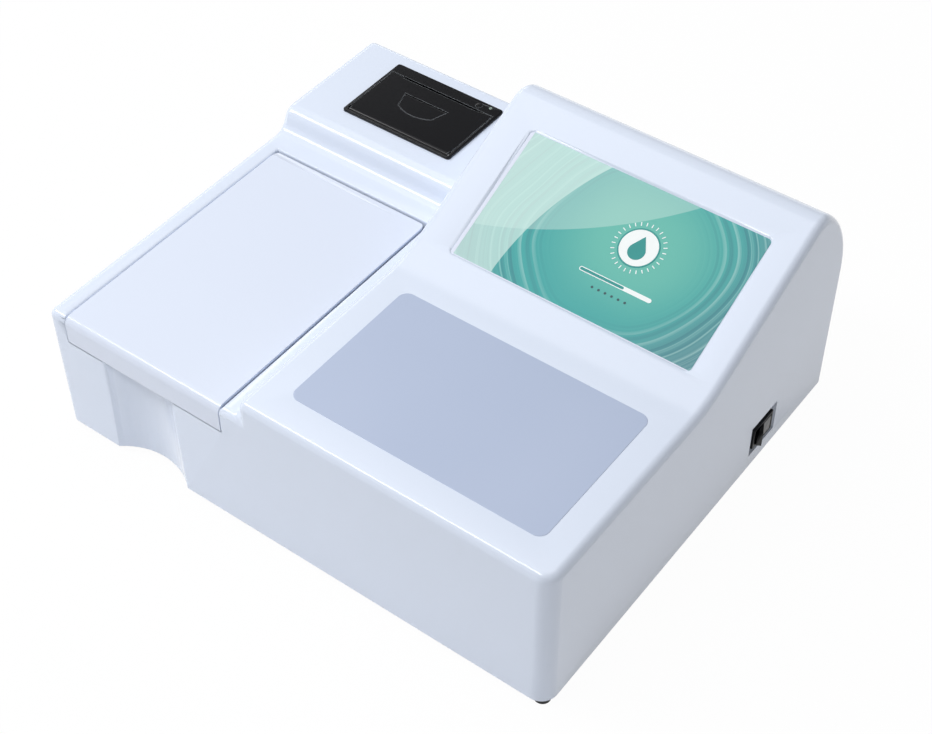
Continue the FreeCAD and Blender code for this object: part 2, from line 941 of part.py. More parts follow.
def spacer_places():
    # Between the outer pairs of wells, where the lamp and detector boards are held.
    wells = well_places()
    return ((wells[0] + wells[1]) / 2, (wells[-2] + wells[-1]) / 2)


def make_sample_tray():
    # A flat tray over the block and the basin floor, with a square mouth for each well.
    x1 = seat_left + tray_side_gap
    x2 = seat_right - tray_side_gap
    tray = rounded_plate(x1, x2, tray_front_y, tray_back_y, floor_top, tray_top, 4.0)
    half = well_size / 2
    x = lid_centre_x
    cuts = [box(x - half, x + half, y - half, y + half, floor_top - 1, tray_top + 1) for y in well_places()]
    for x, y in tray_screw_places() + block_screw_places():
        cuts.append(upright(x, y, floor_top - 1, tray_top + 1, screw_radius + 0.1))
    return tray.cut(fuse_all(cuts))


def collar_ring(z1, z2):
    # A low frame round all the wells, shared by the tray, the seal and the lid.
    half_w = collar_width / 2
    half_l = collar_length / 2
    x = lid_centre_x
    y = block_centre_y
    return rounded_ring(x - half_w, x + half_w, y - half_l, y + half_l, z1, z2, 4.0, collar_wall)


def make_tray_collar():
    return collar_ring(tray_top, collar_top)


def make_tray_screws():
    screws = [screw_down(x, y, tray_top, floor_top - basin_floor - 3) for x, y in tray_screw_places()]
    screws += [screw_down(x, y, tray_top, floor_top - 9) for x, y in block_screw_places()]
    return Part.Compound(screws)


def optic_board(face_x, side):
    # A lamp or detector board that stands beside the block on two spacers.
    near = face_x + side * spacer_length
    far = near + side * board_thickness
    beam_z = floor_top - beam_depth
    half = optic_board_height / 2
    x1, x2, y1, y2 = block_bounds(-optic_board_margin)
    board = box(min(near, far), max(near, far), y1, y2, beam_z - half, beam_z + half)
    for y in spacer_places():
        board = board.cut(across(y, beam_z, min(near, far) - 1, max(near, far) + 1, screw_radius + 0.1))
    plug_x = far + side * 5
    plug = box(
        min(far, plug_x), max(far, plug_x), block_centre_y - 10, block_centre_y + 10, beam_z - half + 2,
        beam_z - half + 8
    )
    return board.fuse(plug)


def make_led_board():
    return optic_board(lid_centre_x - block_width / 2, -1)


def make_detector_board():
    return optic_board(lid_centre_x + block_width / 2, 1)


def make_led_lamps():
    # One lamp in each light bore, standing on its board.
    face = lid_centre_x - block_width / 2 - spacer_length
    beam_z = floor_top - beam_depth
    return Part.Compound([across(y, beam_z, face, face + lamp_length, lamp_radius) for y in well_places()])


def make_photodiodes():
    face = lid_centre_x + block_width / 2 + spacer_length
    beam_z = floor_top - beam_depth
    return Part.Compound([
        across(y, beam_z, face - detector_length, face, lamp_radius) for y in well_places()
    ])


def make_board_spacers():
    # Spacers and their screws, which hold the two boards to the block.
    pieces = []
    beam_z = floor_top - beam_depth
    for side in (-1, 1):
        face = lid_centre_x + side * block_width / 2
        near = face + side * spacer_length
        head = near + side * board_thickness
        for y in spacer_places():
            sleeve = hex_rod(Vector(face, y, beam_z), Vector(near, y, beam_z), spacer_radius)
            tip = face - side * 5
            shank = across(y, beam_z, min(tip, head), max(tip, head), screw_radius)
            end = head + side * screw_head_height
            cap = hex_rod(Vector(head, y, beam_z), Vector(end, y, beam_z), screw_head_radius)
            pieces.append(fuse_all([sleeve, shank, cap]))
    return Part.Compound(pieces)


def make_sample_lid():
    # A moulded lid: top plate folded down into a front lip, skirts, ribs that stop at the
    # light-tight ring, and two knuckles at the back.
    t = lid_thickness
    profile = [
        (front, lip_bottom, 0),
        (front, deck_height, lid_fold_radius),
        (lid_back_y, deck_height, 0.8),
        (lid_back_y, lid_under, 0),
        (front + t, lid_under, lid_fold_radius - t),
        (front + t, lip_bottom, 0),
    ]
    shell = side_solid(profile, 0, lid_left, lid_right)
    outline = rounded_plate(
        lid_left, lid_right, front - lid_corner_radius, lid_back_y,
        lip_bottom - 1, deck_height + 1, lid_corner_radius,
    )
    outline = outline.fuse(box(
        lid_left, lid_right, front - 2 * lid_corner_radius, front + 3 * lid_corner_radius, lip_bottom - 1,
        deck_height + 1
    ))
    shell = shell.common(outline)
    pieces = [shell]
    overlap = 0.5
    skirt_front = rim_front + wall + lid_gap
    skirt_back = hinge_y - skirt_depth
    for x in (lid_left + 1.5, lid_right - 1.5 - skirt_thickness):
        pieces.append(box(
            x, x + skirt_thickness, skirt_front, skirt_back, lid_under - skirt_depth, lid_under + overlap
        ))
    step = collar_length / (lid_rib_count + 1)
    for i in range(lid_rib_count):
        rib_y = block_centre_y - collar_length / 2 + (i + 1) * step
        pieces.append(box(
            lid_left + 2, lid_right - 2, rib_y - rib_thickness / 2, rib_y + rib_thickness / 2,
            lid_under - rib_depth, lid_under + overlap,
        ))
    for middle in hinge_x_places():
        x1 = middle - knuckle_length / 2
        x2 = middle + knuckle_length / 2
        pieces.append(across(hinge_y, hinge_z, x1, x2, knuckle_radius))
        pieces.append(box(
            x1, x2, hinge_y - knuckle_radius, hinge_y + knuckle_radius, hinge_z, lid_under + overlap
        ))
    lid = fuse_all(pieces)
    for middle in hinge_x_places():
        hole = across(
            hinge_y, hinge_z, middle - knuckle_length, middle + knuckle_length,
            hinge_pin_radius + running_clearance,
        )
        lid = lid.cut(hole)
    return lid.cut(make_lid_collar())


def make_lid_collar():
    # The light-tight ring round the wells, flat against the underside of the lid.
    return collar_ring(collar_top + seal_gap + seal_thickness, lid_under)


def make_lid_seal():
    return collar_ring(collar_top + seal_gap, collar_top + seal_gap + seal_thickness)


def make_hinge_pins():
    pins = []
    half = knuckle_length / 2 + side_clearance + hinge_ear_thickness
    for middle in hinge_x_places():
        pins.append(across(hinge_y, hinge_z, middle - half, middle + half, hinge_pin_radius))
    return Part.Compound(pins)


def make_printer_bezel():
    # The black tub that drops into the podium: a flange, a curved cradle for the
    # paper, a shelf for the print head and the fixed strip behind the paper slot.
    flange = rounded_plate(
        printer_left, printer_right, printer_front_y, printer_back_y, podium_height, flange_top, flange_radius
    )
    top_edges = []
    for edge in flange.Edges:
        if edge.BoundBox.ZMin > flange_top - 0.01:
            top_edges.append(edge)
    flange = flange.makeFillet(flange_edge, top_edges)
    tub = box(tub_left, tub_right, tub_front, tub_back, shelf_z - tub_wall, podium_height + 0.5)
    cradle_radius = roll_radius + cradle_gap
    bulge = across(roll_y, roll_z, tub_left, tub_right, cradle_radius + tub_wall)
    bulge = bulge.common(box(
        tub_left, tub_right, tub_front, tub_back, roll_z - 2 * roll_radius, podium_height
    ))
    form = fuse_all([flange, tub, bulge])
    inner = box(
        tub_inner_left, tub_inner_right, tub_front + tub_wall, tub_back - tub_wall, shelf_z,
        door_under - 0.3
    )
    hollow = across(roll_y, roll_z, tub_inner_left, tub_inner_right, cradle_radius)
    mouth = box(
        tub_inner_left, tub_inner_right, roll_y - cradle_radius, roll_y + cradle_radius, roll_z, shelf_z + 1
    )
    door_seat = box(
        door_left - door_side_gap, door_right + door_side_gap, tub_front + 0.7, strip_front,
        door_under - 0.3, flange_top + 1,
    )
    barrel_seat = box(
        tub_inner_left, tub_inner_right, tub_front + 0.7, barrel_y, barrel_z - barrel_radius - 0.4, flange_top
    )
    form = form.cut(fuse_all([inner, hollow, mouth, door_seat, barrel_seat]))
    half = roll_width / 2 + 0.4
    partitions = []
    for side in (-1, 1):
        x = printer_centre_x + side * (half + 1)
        partitions.append(box(
            x - 1, x + 1, tub_front + tub_wall / 2, roll_y + cradle_radius, roll_z - cradle_radius - 1,
            shelf_z + partition_height,
        ).common(bulge.fuse(box(tub_left, tub_right, tub_front, tub_back, shelf_z - 1, podium_height))))
    form = fuse_all([form] + partitions)
    cuts = []
    for x1, x2 in ((tub_left - 1, tub_inner_left + 1), (tub_inner_right - 1, tub_right + 1)):
        cuts.append(across(barrel_y, barrel_z, x1, x2, door_pin_radius + seat_clearance))
    cuts.append(upright(button_x, button_y, podium_height - 4, flange_top + 1, button_radius + 0.15))
    cuts.append(upright(lens_x, lens_y, podium_height - 4, flange_top + 1, lens_radius + seat_clearance))
    return form.cut(fuse_all(cuts))


def tab_outline(growth, z):
    # The latch tab seen from above: straight back, slanted sides, bowed front edge.
    back_half = tab_back_width / 2 + growth
    front_half = tab_front_width / 2 + growth
    x = tab_centre_x
    back_y = tab_back_y + growth
    front_y = tab_front_y - growth
    corner_1 = Vector(x - back_half, back_y, z)
    corner_2 = Vector(x - front_half, front_y, z)
    corner_3 = Vector(x + front_half, front_y, z)
    corner_4 = Vector(x + back_half, back_y, z)
    bow = Part.Arc(corner_2, Vector(x, front_y - tab_bulge, z), corner_3).toShape()
    return Part.Wire([
        Part.makeLine(corner_1, corner_2), bow, Part.makeLine(corner_3, corner_4), Part.makeLine(
            corner_4, corner_1
        )
    ])


def tab_pin_place():
    return tab_back_y - tab_barrel_radius, flange_top - tab_barrel_radius


def make_printer_door():
    # The door with its hinge barrel, cheeks for the platen and bosses for the latch tab.
    overlap = 0.6
    plate = rounded_plate(
        door_left, door_right, barrel_y + overlap, door_back_y, door_under, flange_top, 0.8
    )
    c = side_clearance
    barrel = across(barrel_y, barrel_z, tub_inner_left + c, tub_inner_right - c, barrel_radius)
    neck = box(tub_inner_left + c, tub_inner_right - c, barrel_y, barrel_y + 3, door_under, flange_top)
    pieces = [plate, barrel, neck]
    half = slot_width / 2 - 0.1 + cheek_gap
    for side in (-1, 1):
        inner = printer_centre_x + side * half
        outer = inner + side * cheek_thickness
        x1 = min(inner, outer)
        outline = [
            (Vector(x1, platen_y - 14, door_under + 0.5), 0),
            (Vector(x1, platen_y - 3.5, platen_z - 3), 2.0),
            (Vector(x1, platen_y + 3, platen_z - 3), 2.0),
            (Vector(x1, platen_y + 3, door_under + 0.5), 0),
        ]
        pieces.append(Part.Face(rounded_wire(outline)).extrude(Vector(cheek_thickness, 0, 0)))
    pin_y, pin_z = tab_pin_place()
    for side in (-1, 1):
        x = tab_centre_x + side * (tab_back_width / 2 + tab_clearance + 1.5)
        pieces.append(box(x - 1.5, x + 1.5, pin_y - 2, pin_y + 2, pin_z - 1.8, flange_top - 0.2))
    for x in (door_left + 12, door_right - 14):
        pieces.append(box(
            x, x + rib_thickness, barrel_y + 2, tab_back_y - 8, door_under - 2, door_under + 0.5
        ))
    door = fuse_all(pieces)
    cuts = [Part.Face(tab_outline(tab_clearance, door_under - 3)).extrude(Vector(0, 0, 8))]
    half = slot_width / 2
    cuts.append(box(
        printer_centre_x - half, printer_centre_x + half, door_back_y - slot_depth, door_back_y + 1,
        door_under - 1, flange_top + 1,
    ))
    cuts.append(across(
        platen_y, platen_z, tub_inner_left, tub_inner_right, platen_shaft_radius + running_clearance
    ))
    for x1, x2 in ((door_left - 1, tub_inner_left + 7), (tub_inner_right - 7, door_right + 1)):
        cuts.append(across(barrel_y, barrel_z, x1, x2, door_pin_radius + running_clearance))
    reach = tab_back_width / 2 + 5
    cuts.append(across(
        pin_y, pin_z, tab_centre_x - reach + 2, tab_centre_x + reach - 2,
        tab_pin_radius + seat_clearance,
    ))
    return door.cut(fuse_all(cuts))


def make_door_pins():
    pins = []
    for x1, x2 in ((tub_left, tub_inner_left + 6), (tub_inner_right - 6, tub_right)):
        pins.append(across(barrel_y, barrel_z, x1, x2, door_pin_radius))
    return Part.Compound(pins)


def make_latch_lever():
    pin_y, pin_z = tab_pin_place()
    x = tab_centre_x
    z = flange_top - tab_thickness
    tab = Part.Face(tab_outline(0, z)).extrude(Vector(0, 0, tab_thickness))
    tab = tab.cut(box(x - 30, x + 30, pin_y, pin_y + 5, z - 1, flange_top + 1))
    half = tab_back_width / 2
    barrel = across(pin_y, pin_z, x - half + 0.8, x + half - 0.8, tab_barrel_radius)
    tail = box(x - 4, x + 4, pin_y - 0.7, pin_y + 0.7, flange_top - tab_tail_drop, pin_z)
    hook = box(
        x - 4, x + 4, pin_y - 0.7, pin_y + 1.4, flange_top - tab_tail_drop,
        flange_top - tab_tail_drop + 1
    )
    lever = fuse_all([tab, barrel, tail, hook])
    return lever.cut(across(pin_y, pin_z, x - half - 1, x + half + 1, tab_pin_radius + running_clearance))


def make_latch_pin():
    pin_y, pin_z = tab_pin_place()
    x = tab_centre_x
    reach = tab_back_width / 2 + 3
    return across(pin_y, pin_z, x - reach, x + reach, tab_pin_radius)


def make_platen_roller():
    half = slot_width / 2 - 0.1
    x = printer_centre_x
    roller = across(platen_y, platen_z, x - half, x + half, platen_radius)
    return roller.cut(across(platen_y, platen_z, x - half - 1, x + half + 1, platen_shaft_radius))


def make_platen_shaft():
    # The steel shaft with a small toothed gear on its right end.
    half = slot_width / 2 - 0.1 + cheek_gap + cheek_thickness
    x1 = printer_centre_x - half - 1.5
    gear_x = printer_centre_x + half + 0.4
    gear_width = 2.6
    shaft = across(platen_y, platen_z, x1, gear_x + gear_width, platen_shaft_radius)
    teeth = 16
    root = platen_gear_radius - 0.9
    tip = platen_gear_radius
    points = []
    for i in range(teeth):
        for share, radius in ((0.0, root), (0.25, root), (0.4, tip), (0.8, tip)):
            angle = 2 * math.pi * (i + share) / teeth
            points.append(Vector(
                gear_x, platen_y + radius * math.cos(angle), platen_z + radius * math.sin(angle)
            ))
    points.append(points[0])
    gear = Part.Face(Part.makePolygon(points)).extrude(Vector(gear_width, 0, 0))
    return shaft.fuse(gear).removeSplitter()


def make_paper_roll():
    half = roll_width / 2
    x = printer_centre_x
    roll = across(roll_y, roll_z, x - half, x + half, roll_radius)
    return roll.cut(across(roll_y, roll_z, x - half - 1, x + half + 1, roll_core_radius))


def make_roll_core():
    half = roll_width / 2
    x = printer_centre_x
    core = across(roll_y, roll_z, x - half, x + half, roll_core_radius)
    return core.cut(across(roll_y, roll_z, x - half - 1, x + half + 1, roll_bore_radius))


def make_print_head():
    # A metal bar with a raised heater line facing the platen, on two feet.
    y1 = platen_y + platen_radius + head_gap
    x1 = printer_centre_x - slot_width / 2
    x2 = printer_centre_x + slot_width / 2
    z1 = flange_top - head_drop
    plate = box(x1, x2, y1 + 0.8, y1 + head_thickness, z1, z1 + head_height)
    line = box(x1, x2, y1, y1 + 1, platen_z - 1.4, platen_z + 0.4)
    feet = [box(x, x + 6, y1 + 0.8, y1 + head_thickness, shelf_z, z1 + 1) for x in (x1 + 4, x2 - 10)]
    return fuse_all([plate, line] + feet)


def make_feed_motor():
    # A small geared motor in the corner of the tub, below the platen gear.
    x2 = tub_inner_right - 0.1
    y1 = platen_y - 7
    case = rounded_plate(x2 - 5.5, x2, y1, y1 + 16, shelf_z, shelf_z + 9.5, 1.5)
    can = across(y1 + 8, shelf_z + 4.8, x2 - 5.5 - 2.5, x2 - 5, 4.2)
    return case.fuse(can)


def make_tear_bar():
    # A serrated steel strip along the fixed side of the paper slot.
    half = slot_width / 2 - 0.3
    count = int(2 * half / tooth_pitch)
    start = printer_centre_x - count * tooth_pitch / 2
    y = strip_front - 0.3
    low = flange_top - 2.6
    base = flange_top - 0.7
    tip = flange_top - 0.15
    points = [Vector(start, y, low)]
    for i in range(count):
        points.append(Vector(start + i * tooth_pitch, y, base))
        points.append(Vector(start + (i + 0.5) * tooth_pitch, y, tip))
    points.append(Vector(start + count * tooth_pitch, y, base))
    points.append(Vector(start + count * tooth_pitch, y, low))
    points.append(points[0])
    return Part.Face(Part.makePolygon(points)).extrude(Vector(0, 0.3, 0))


def make_key_board():
    # The small board under the strip, with the feed key's switch and a light.
    z = flange_top - key_board_drop
    back_y = tub_back - tub_wall
    board = box(button_x - 6, tub_inner_right - 0.2, button_y - 2.6, back_y, z - 1, z)
    key = box(button_x - 2.4, button_x + 2.4, button_y - 2.4, back_y - 0.1, z, z + 0.6)
    lamp = upright(lens_x, lens_y - 2.0, z, z + 1.6, 0.8)
    return fuse_all([board, key, lamp])


def make_status_lens():
    return upright(lens_x, lens_y, podium_height - 1.0, flange_top + 0.15, lens_radius)


def make_feed_button():
    z = flange_top - key_board_drop + 0.6
    cap = upright(button_x, button_y, z + button_travel + 0.3, flange_top + 0.3, button_radius)
    return cap


def make_printer_clips():
    # Spring clips on the tub's sides that hold it against the underside of the podium.
    clips = []
    z_top = podium_height - wall
    y1 = printer_front_y + printer_depth / 2 - 6
    for side, face in ((-1, tub_left), (1, tub_right)):
        outline = [
            Vector(face, y1, z_top - 18),
            Vector(face, y1, z_top - 2),
            Vector(face + side * 3.2, y1, z_top - 0.05),
            Vector(face + side * 3.8, y1, z_top - 0.9),
            Vector(face + side * 0.9, y1, z_top - 3),
            Vector(face + side * 0.9, y1, z_top - 18),
        ]
        outline.append(outline[0])
        clips.append(Part.Face(Part.makePolygon(outline)).extrude(Vector(0, 12, 0)))
    return Part.Compound(clips)


def make_switch_body():
    # The bezel frame on the pocket floor with the switch body and its tabs behind it.
    floor_x = right - pocket_depth
    half_l = bezel_length / 2
    half_h = bezel_height / 2
    frame = box(
        floor_x, rocker_face, switch_y - half_l, switch_y + half_l, switch_z - half_h, switch_z + half_h
    )
    edges = []
    for edge in frame.Edges:
        if edge.BoundBox.XMin > rocker_face - 0.01:
            edges.append(edge)
    frame = frame.makeFillet(0.7, edges)
    body_l = switch_body_length / 2
    body_h = switch_body_height / 2
    body = box(
        floor_x - switch_depth, floor_x + 0.1, switch_y - body_l, switch_y + body_l, switch_z - body_h,
        switch_z + body_h
    )
    well_l = half_l - rocker_frame
    well_h = half_h - rocker_frame
    well = box(
        floor_x - switch_depth * 0.45, rocker_face + 1,
        switch_y - well_l, switch_y + well_l, switch_z - well_h, switch_z + well_h,
    )
    reach = well_h + rocker_pin_reach + 0.1
    pivot_x = rocker_face - rocker_pivot_depth
    pin_hole = upright(
        pivot_x, switch_y, switch_z - reach, switch_z + reach, rocker_pin_radius + running_clearance
    )
    tabs = []
    for offset in (-6, 0, 6):
        y = switch_y + offset
        tabs.append(box(
            floor_x - switch_depth - 7, floor_x - switch_depth + 0.5, y - 0.4, y + 0.4,
            switch_z - 2.4, switch_z + 2.4,
        ))
    return fuse_all([frame, body] + tabs).cut(well.fuse(pin_hole))


def make_switch_rocker():
    # A see-saw key, hollowed to a shallow V, with its front half standing out at rest.
    half = bezel_length / 2 - rocker_frame - rocker_gap
    pivot_x = rocker_face - rocker_pivot_depth
    tall = bezel_height / 2 - rocker_frame - rocker_gap
    pitch = math.radians(rocker_tilt)
    lean = Vector(math.sin(pitch), -math.cos(pitch), 0)
    flat = Vector(0, 1, 0)
    skin = rocker_pivot_depth + 0.1
    crown = Vector(pivot_x + skin, switch_y, 0)
    outer_end = crown + lean * (half - 0.6)
    inner_end = crown + flat * (half - 0.4)
    back_lean = Vector(-math.cos(pitch), -math.sin(pitch), 0)
    points = [
        crown,
        outer_end,
        outer_end + back_lean * 3.0,
        Vector(pivot_x - 2.2, switch_y - 3.4, 0),
        Vector(pivot_x - 2.6, switch_y + 1.0, 0),
        inner_end + Vector(-2.6, -1.0, 0),
        inner_end,
    ]
    points = [Vector(p.x, p.y, switch_z - tall) for p in points]
    points.append(points[0])
    key = Part.Face(Part.makePolygon(points)).extrude(Vector(0, 0, 2 * tall))
    reach = tall + rocker_gap + rocker_pin_reach
    return key.fuse(upright(pivot_x, switch_y, switch_z - reach, switch_z + reach, rocker_pin_radius))


def make_power_inlet():
    # A three-blade mains inlet: flange, shroud with chamfered corners and blades.
    y = back
    half_w = inlet_flange_width / 2
    half_h = inlet_flange_height / 2
    outline = [
        (Vector(inlet_x - half_w, y, inlet_z), 3.0),
        (Vector(inlet_x - half_w * 0.6, y, inlet_z - half_h), 2.0),
        (Vector(inlet_x + half_w * 0.6, y, inlet_z - half_h), 2.0),
        (Vector(inlet_x + half_w, y, inlet_z), 3.0),
        (Vector(inlet_x + half_w * 0.6, y, inlet_z + half_h), 2.0),
        (Vector(inlet_x - half_w * 0.6, y, inlet_z + half_h), 2.0),
    ]
    flange = Part.Face(rounded_wire(outline)).extrude(Vector(0, inlet_flange, 0))
    c = 0.2
    body = box(
        inlet_x - inlet_width / 2 + c, inlet_x + inlet_width / 2 - c, y - inlet_depth, y + 0.1,
        inlet_z - inlet_height / 2 + c, inlet_z + inlet_height / 2 - c,
    )
    w = inlet_cavity_width / 2
    h = inlet_cavity_height / 2
    outer_y = y + inlet_flange
    cut = 4.0
    cavity = Part.Face(Part.makePolygon([
        Vector(inlet_x - w, outer_y + 1, inlet_z - h), Vector(inlet_x + w, outer_y + 1, inlet_z - h),
        Vector(inlet_x + w, outer_y + 1, inlet_z + h - cut),
        Vector(inlet_x + w - cut, outer_y + 1, inlet_z + h),
        Vector(inlet_x - w + cut, outer_y + 1, inlet_z + h),
        Vector(inlet_x - w, outer_y + 1, inlet_z + h - cut),
        Vector(inlet_x - w, outer_y + 1, inlet_z - h),
    ])).extrude(Vector(0, -inlet_cavity_depth - 1, 0))
    inlet = flange.fuse(body).cut(cavity)
    for side in (-1, 1):
        x = inlet_x + side * inlet_screw_spacing / 2
        inlet = inlet.cut(rod(
            Vector(x, y - 1, inlet_z), Vector(x, outer_y + 1, inlet_z), screw_radius + 0.1
        ))
    blades = []
    for offset, drop in ((-7.0, 2.0), (7.0, 2.0), (0.0, -2.0)):
        x = inlet_x + offset
        z = inlet_z - drop
        blades.append(box(x - 1, x + 1, outer_y - inlet_cavity_depth - 1, outer_y - 2.5, z - 2, z + 2))
        blades.append(box(x - 1, x + 1, y - inlet_depth - 7, y - inlet_depth + 0.5, z - 2, z + 2))
    return fuse_all([inlet] + blades)


def make_inlet_screws():
    screws = []
    face = back + inlet_flange
    for side in (-1, 1):
        x = inlet_x + side * inlet_screw_spacing / 2
        head = rod(Vector(x, face, inlet_z), Vector(x, face + 1.2, inlet_z), 2.6)
        shank = rod(Vector(x, back - wall - 4, inlet_z), Vector(x, face + 0.1, inlet_z), screw_radius)
        screws.append(head.fuse(shank))
    return Part.Compound(screws)


def make_usb_sockets():
    # Two data sockets: folded steel shells round a tongue, on one small board.
    shells = []
    for i in range(2):
        x = usb_x + (i - 0.5) * usb_pitch
        half = usb_width / 2
        tall = usb_height / 2
        shell = box(x - half, x + half, back - usb_shell_length, back - 0.3, usb_z - tall, usb_z + tall)
        hollow = box(
            x - half + 0.5, x + half - 0.5, back - usb_shell_length + 2, back + 1, usb_z - tall + 0.5,
            usb_z + tall - 0.5
        )
        tongue = box(
            x - half + 1.2, x + half - 1.2, back - usb_shell_length + 1, back - 2, usb_z + 0.1,
            usb_z + 1.6
        )
        shells.append(shell.cut(hollow).fuse(tongue))
    low = usb_z - usb_height / 2
    board = box(
        usb_x - usb_pitch, usb_x + usb_pitch, back - usb_shell_length - 4, back - wall - 0.3,
        low - board_thickness, low + 0.05,
    )
    return fuse_all([board] + shells)


def make_main_board():
    # The control board with its connectors, processor and a finned regulator.
    x1 = board_centre_x - board_width / 2
    x2 = board_centre_x + board_width / 2
    y1 = board_centre_y - board_depth / 2
    y2 = board_centre_y + board_depth / 2
    z1 = base_top + standoff_height
    z2 = z1 + board_thickness
    pieces = [box(x1, x2, y1, y2, z1, z2)]
    pieces.append(centred_box(board_centre_x, board_centre_y, 22, 22, z2 - 0.05, z2 + 1.8))
    for i in range(4):
        pieces.append(centred_box(x1 + 22 + i * 30, y2 - 6, 20, 7, z2 - 0.05, z2 + 8))
    for i in range(5):
        pieces.append(centred_box(x2 - 24 + i * 3.4, y1 + 22, 1.4, 26, z2 + 1.5, z2 + 16))
    pieces.append(centred_box(x2 - 17.2, y1 + 22, 17, 26, z2 - 0.05, z2 + 2))
    for i in range(3):
        pieces.append(upright(x1 + 20 + i * 14, y1 + 14, z2 - 0.05, z2 + 12, 4.5))
    board = fuse_all(pieces)
    for x, y in board_hole_places():
        board = board.cut(upright(x, y, z1 - 1, z2 + 1, screw_radius + 0.1))
    return board


def board_hole_places():
    w = board_width / 2 - board_hole_inset
    d = board_depth / 2 - board_hole_inset
    return [(board_centre_x + i * w, board_centre_y + j * d) for i in (-1, 1) for j in (-1, 1)]


def make_board_standoffs():
    pieces = []
    top = base_top + standoff_height
    for x, y in board_hole_places():
        post = hex_rod(Vector(x, y, base_top), Vector(x, y, top), standoff_radius)
        pin = upright(x, y, top - 0.1, top + board_thickness + 0.1, screw_radius)
        low = top + board_thickness
        cap = hex_rod(Vector(x, y, low), Vector(x, y, low + screw_head_height), screw_head_radius)
        pieces.append(fuse_all([post, pin, cap]))
    return Part.Compound(pieces)


def make_power_supply():
    # A caged supply: folded sheet cover, open at the ends, round a board with parts.
    x1 = supply_centre_x - supply_width / 2
    x2 = supply_centre_x + supply_width / 2
    y1 = supply_centre_y - supply_depth / 2
    y2 = supply_centre_y + supply_depth / 2
    t = supply_sheet
    z1 = base_top
    z2 = base_top + supply_height
    cage = box(x1, x2, y1, y2, z1, z2).cut(box(x1 - 1, x2 + 1, y1 + t, y2 - t, z1 + t, z2 - t))
    slots = []
    for i in range(8):
        x = x1 + 14 + i * 9
        slots.append(box(x, x + 3, y1 + 12, y2 - 12, z2 - t - 1, z2 + 1))
    cage = cage.cut(fuse_all(slots))
    board = box(x1 + 2, x2 - 2, y1 + t - 0.1, y2 - t + 0.1, z1 + 4, z1 + 4 + board_thickness)
    parts = [
        centred_box(x1 + 30, supply_centre_y, 26, 22, z1 + 5, z1 + 24),
        upright(x1 + 58, supply_centre_y + 10, z1 + 5, z1 + 25, 7),
        upright(x1 + 58, supply_centre_y - 12, z1 + 5, z1 + 22, 6),
        centred_box(x2 - 9, supply_centre_y, 9, 40, z1 + 5, z1 + 15),
    ]
    return fuse_all([cage, board] + parts)


makers = {
    "upper_housing": make_upper_housing,
    "base_plate": make_base_plate,
    "rubber_feet": make_rubber_feet,
    "foot_screws": make_foot_screws,
    "label_panel": make_label_panel,
    "touch_panel": make_touch_panel,
    "display_module": make_display_module,
    "display_bracket": make_display_bracket,
    "display_screws": make_display_screws,
    "cuvette_block": make_cuvette_block,
    "sample_tray": make_sample_tray,
    "tray_collar": make_tray_collar,
    "tray_screws": make_tray_screws,
    "led_board": make_led_board,
    "led_lamps": make_led_lamps,
    "detector_board": make_detector_board,
    "photodiodes": make_photodiodes,
    "board_spacers": make_board_spacers,
    "sample_lid": make_sample_lid,
    "lid_collar": make_lid_collar,
    "lid_seal": make_lid_seal,
    "hinge_pins": make_hinge_pins,
    "printer_bezel": make_printer_bezel,
    "printer_clips": make_printer_clips,
    "printer_door": make_printer_door,
    "door_pins": make_door_pins,
    "latch_lever": make_latch_lever,
    "latch_pin": make_latch_pin,
    "platen_roller": make_platen_roller,
    "platen_shaft": make_platen_shaft,
    "paper_roll": make_paper_roll,
    "roll_core": make_roll_core,
    "print_head": make_print_head,
    "feed_motor": make_feed_motor,
    "tear_bar": make_tear_bar,
    "key_board": make_key_board,
    "status_lens": make_status_lens,
    "feed_button": make_feed_button,
    "switch_body": make_switch_body,
    "switch_rocker": make_switch_rocker,
    "power_inlet": make_power_inlet,
    "inlet_screws": make_inlet_screws,
    "usb_sockets": make_usb_sockets,
    "main_board": make_main_board,
    "board_standoffs": make_board_standoffs,
    "power_supply": make_power_supply,
}

os.makedirs("parts", exist_ok=True)
for node, maker in makers.items():
    shape = maker()
    shape.exportStep(os.path.join("parts", node + ".step"))
    print(node, len(shape.Solids), shape.isValid(), round(shape.Volume / 1000, 2))
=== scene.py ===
import json
import math

import bmesh
import bpy
from mathutils import Matrix, Vector


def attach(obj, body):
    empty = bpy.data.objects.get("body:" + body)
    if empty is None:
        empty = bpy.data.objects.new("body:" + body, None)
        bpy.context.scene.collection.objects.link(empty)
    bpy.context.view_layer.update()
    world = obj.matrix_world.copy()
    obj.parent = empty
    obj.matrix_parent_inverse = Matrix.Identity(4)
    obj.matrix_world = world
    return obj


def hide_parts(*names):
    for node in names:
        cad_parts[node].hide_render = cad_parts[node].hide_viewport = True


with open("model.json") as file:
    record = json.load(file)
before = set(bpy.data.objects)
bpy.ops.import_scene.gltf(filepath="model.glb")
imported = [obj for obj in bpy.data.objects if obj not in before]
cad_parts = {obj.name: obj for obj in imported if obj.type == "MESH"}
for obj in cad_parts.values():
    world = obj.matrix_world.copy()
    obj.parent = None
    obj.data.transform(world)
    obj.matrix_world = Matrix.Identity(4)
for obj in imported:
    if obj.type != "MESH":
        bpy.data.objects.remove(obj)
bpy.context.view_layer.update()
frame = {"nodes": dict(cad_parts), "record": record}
mm = 0.001
print("frame loaded:", len(frame["nodes"]), "nodes")


# Places that the dressed pieces share with the solids, in millimetres.
layout = {
    "screenCentre": (72.5, 46.95, 130.347),  # middle of the window, on the skin of the case
    "screenTilt": 24.2,  # degrees
    "glassTop": -3.0,  # from the skin down to the glass
    "coverTop": -1.3,  # from the skin down to the face of the cover lens on the glass
    "trayTop": 68.0,
    "wellX": -100.2,
    "wellFirstY": -107.5,
    "wellPitch": 21.0,
}


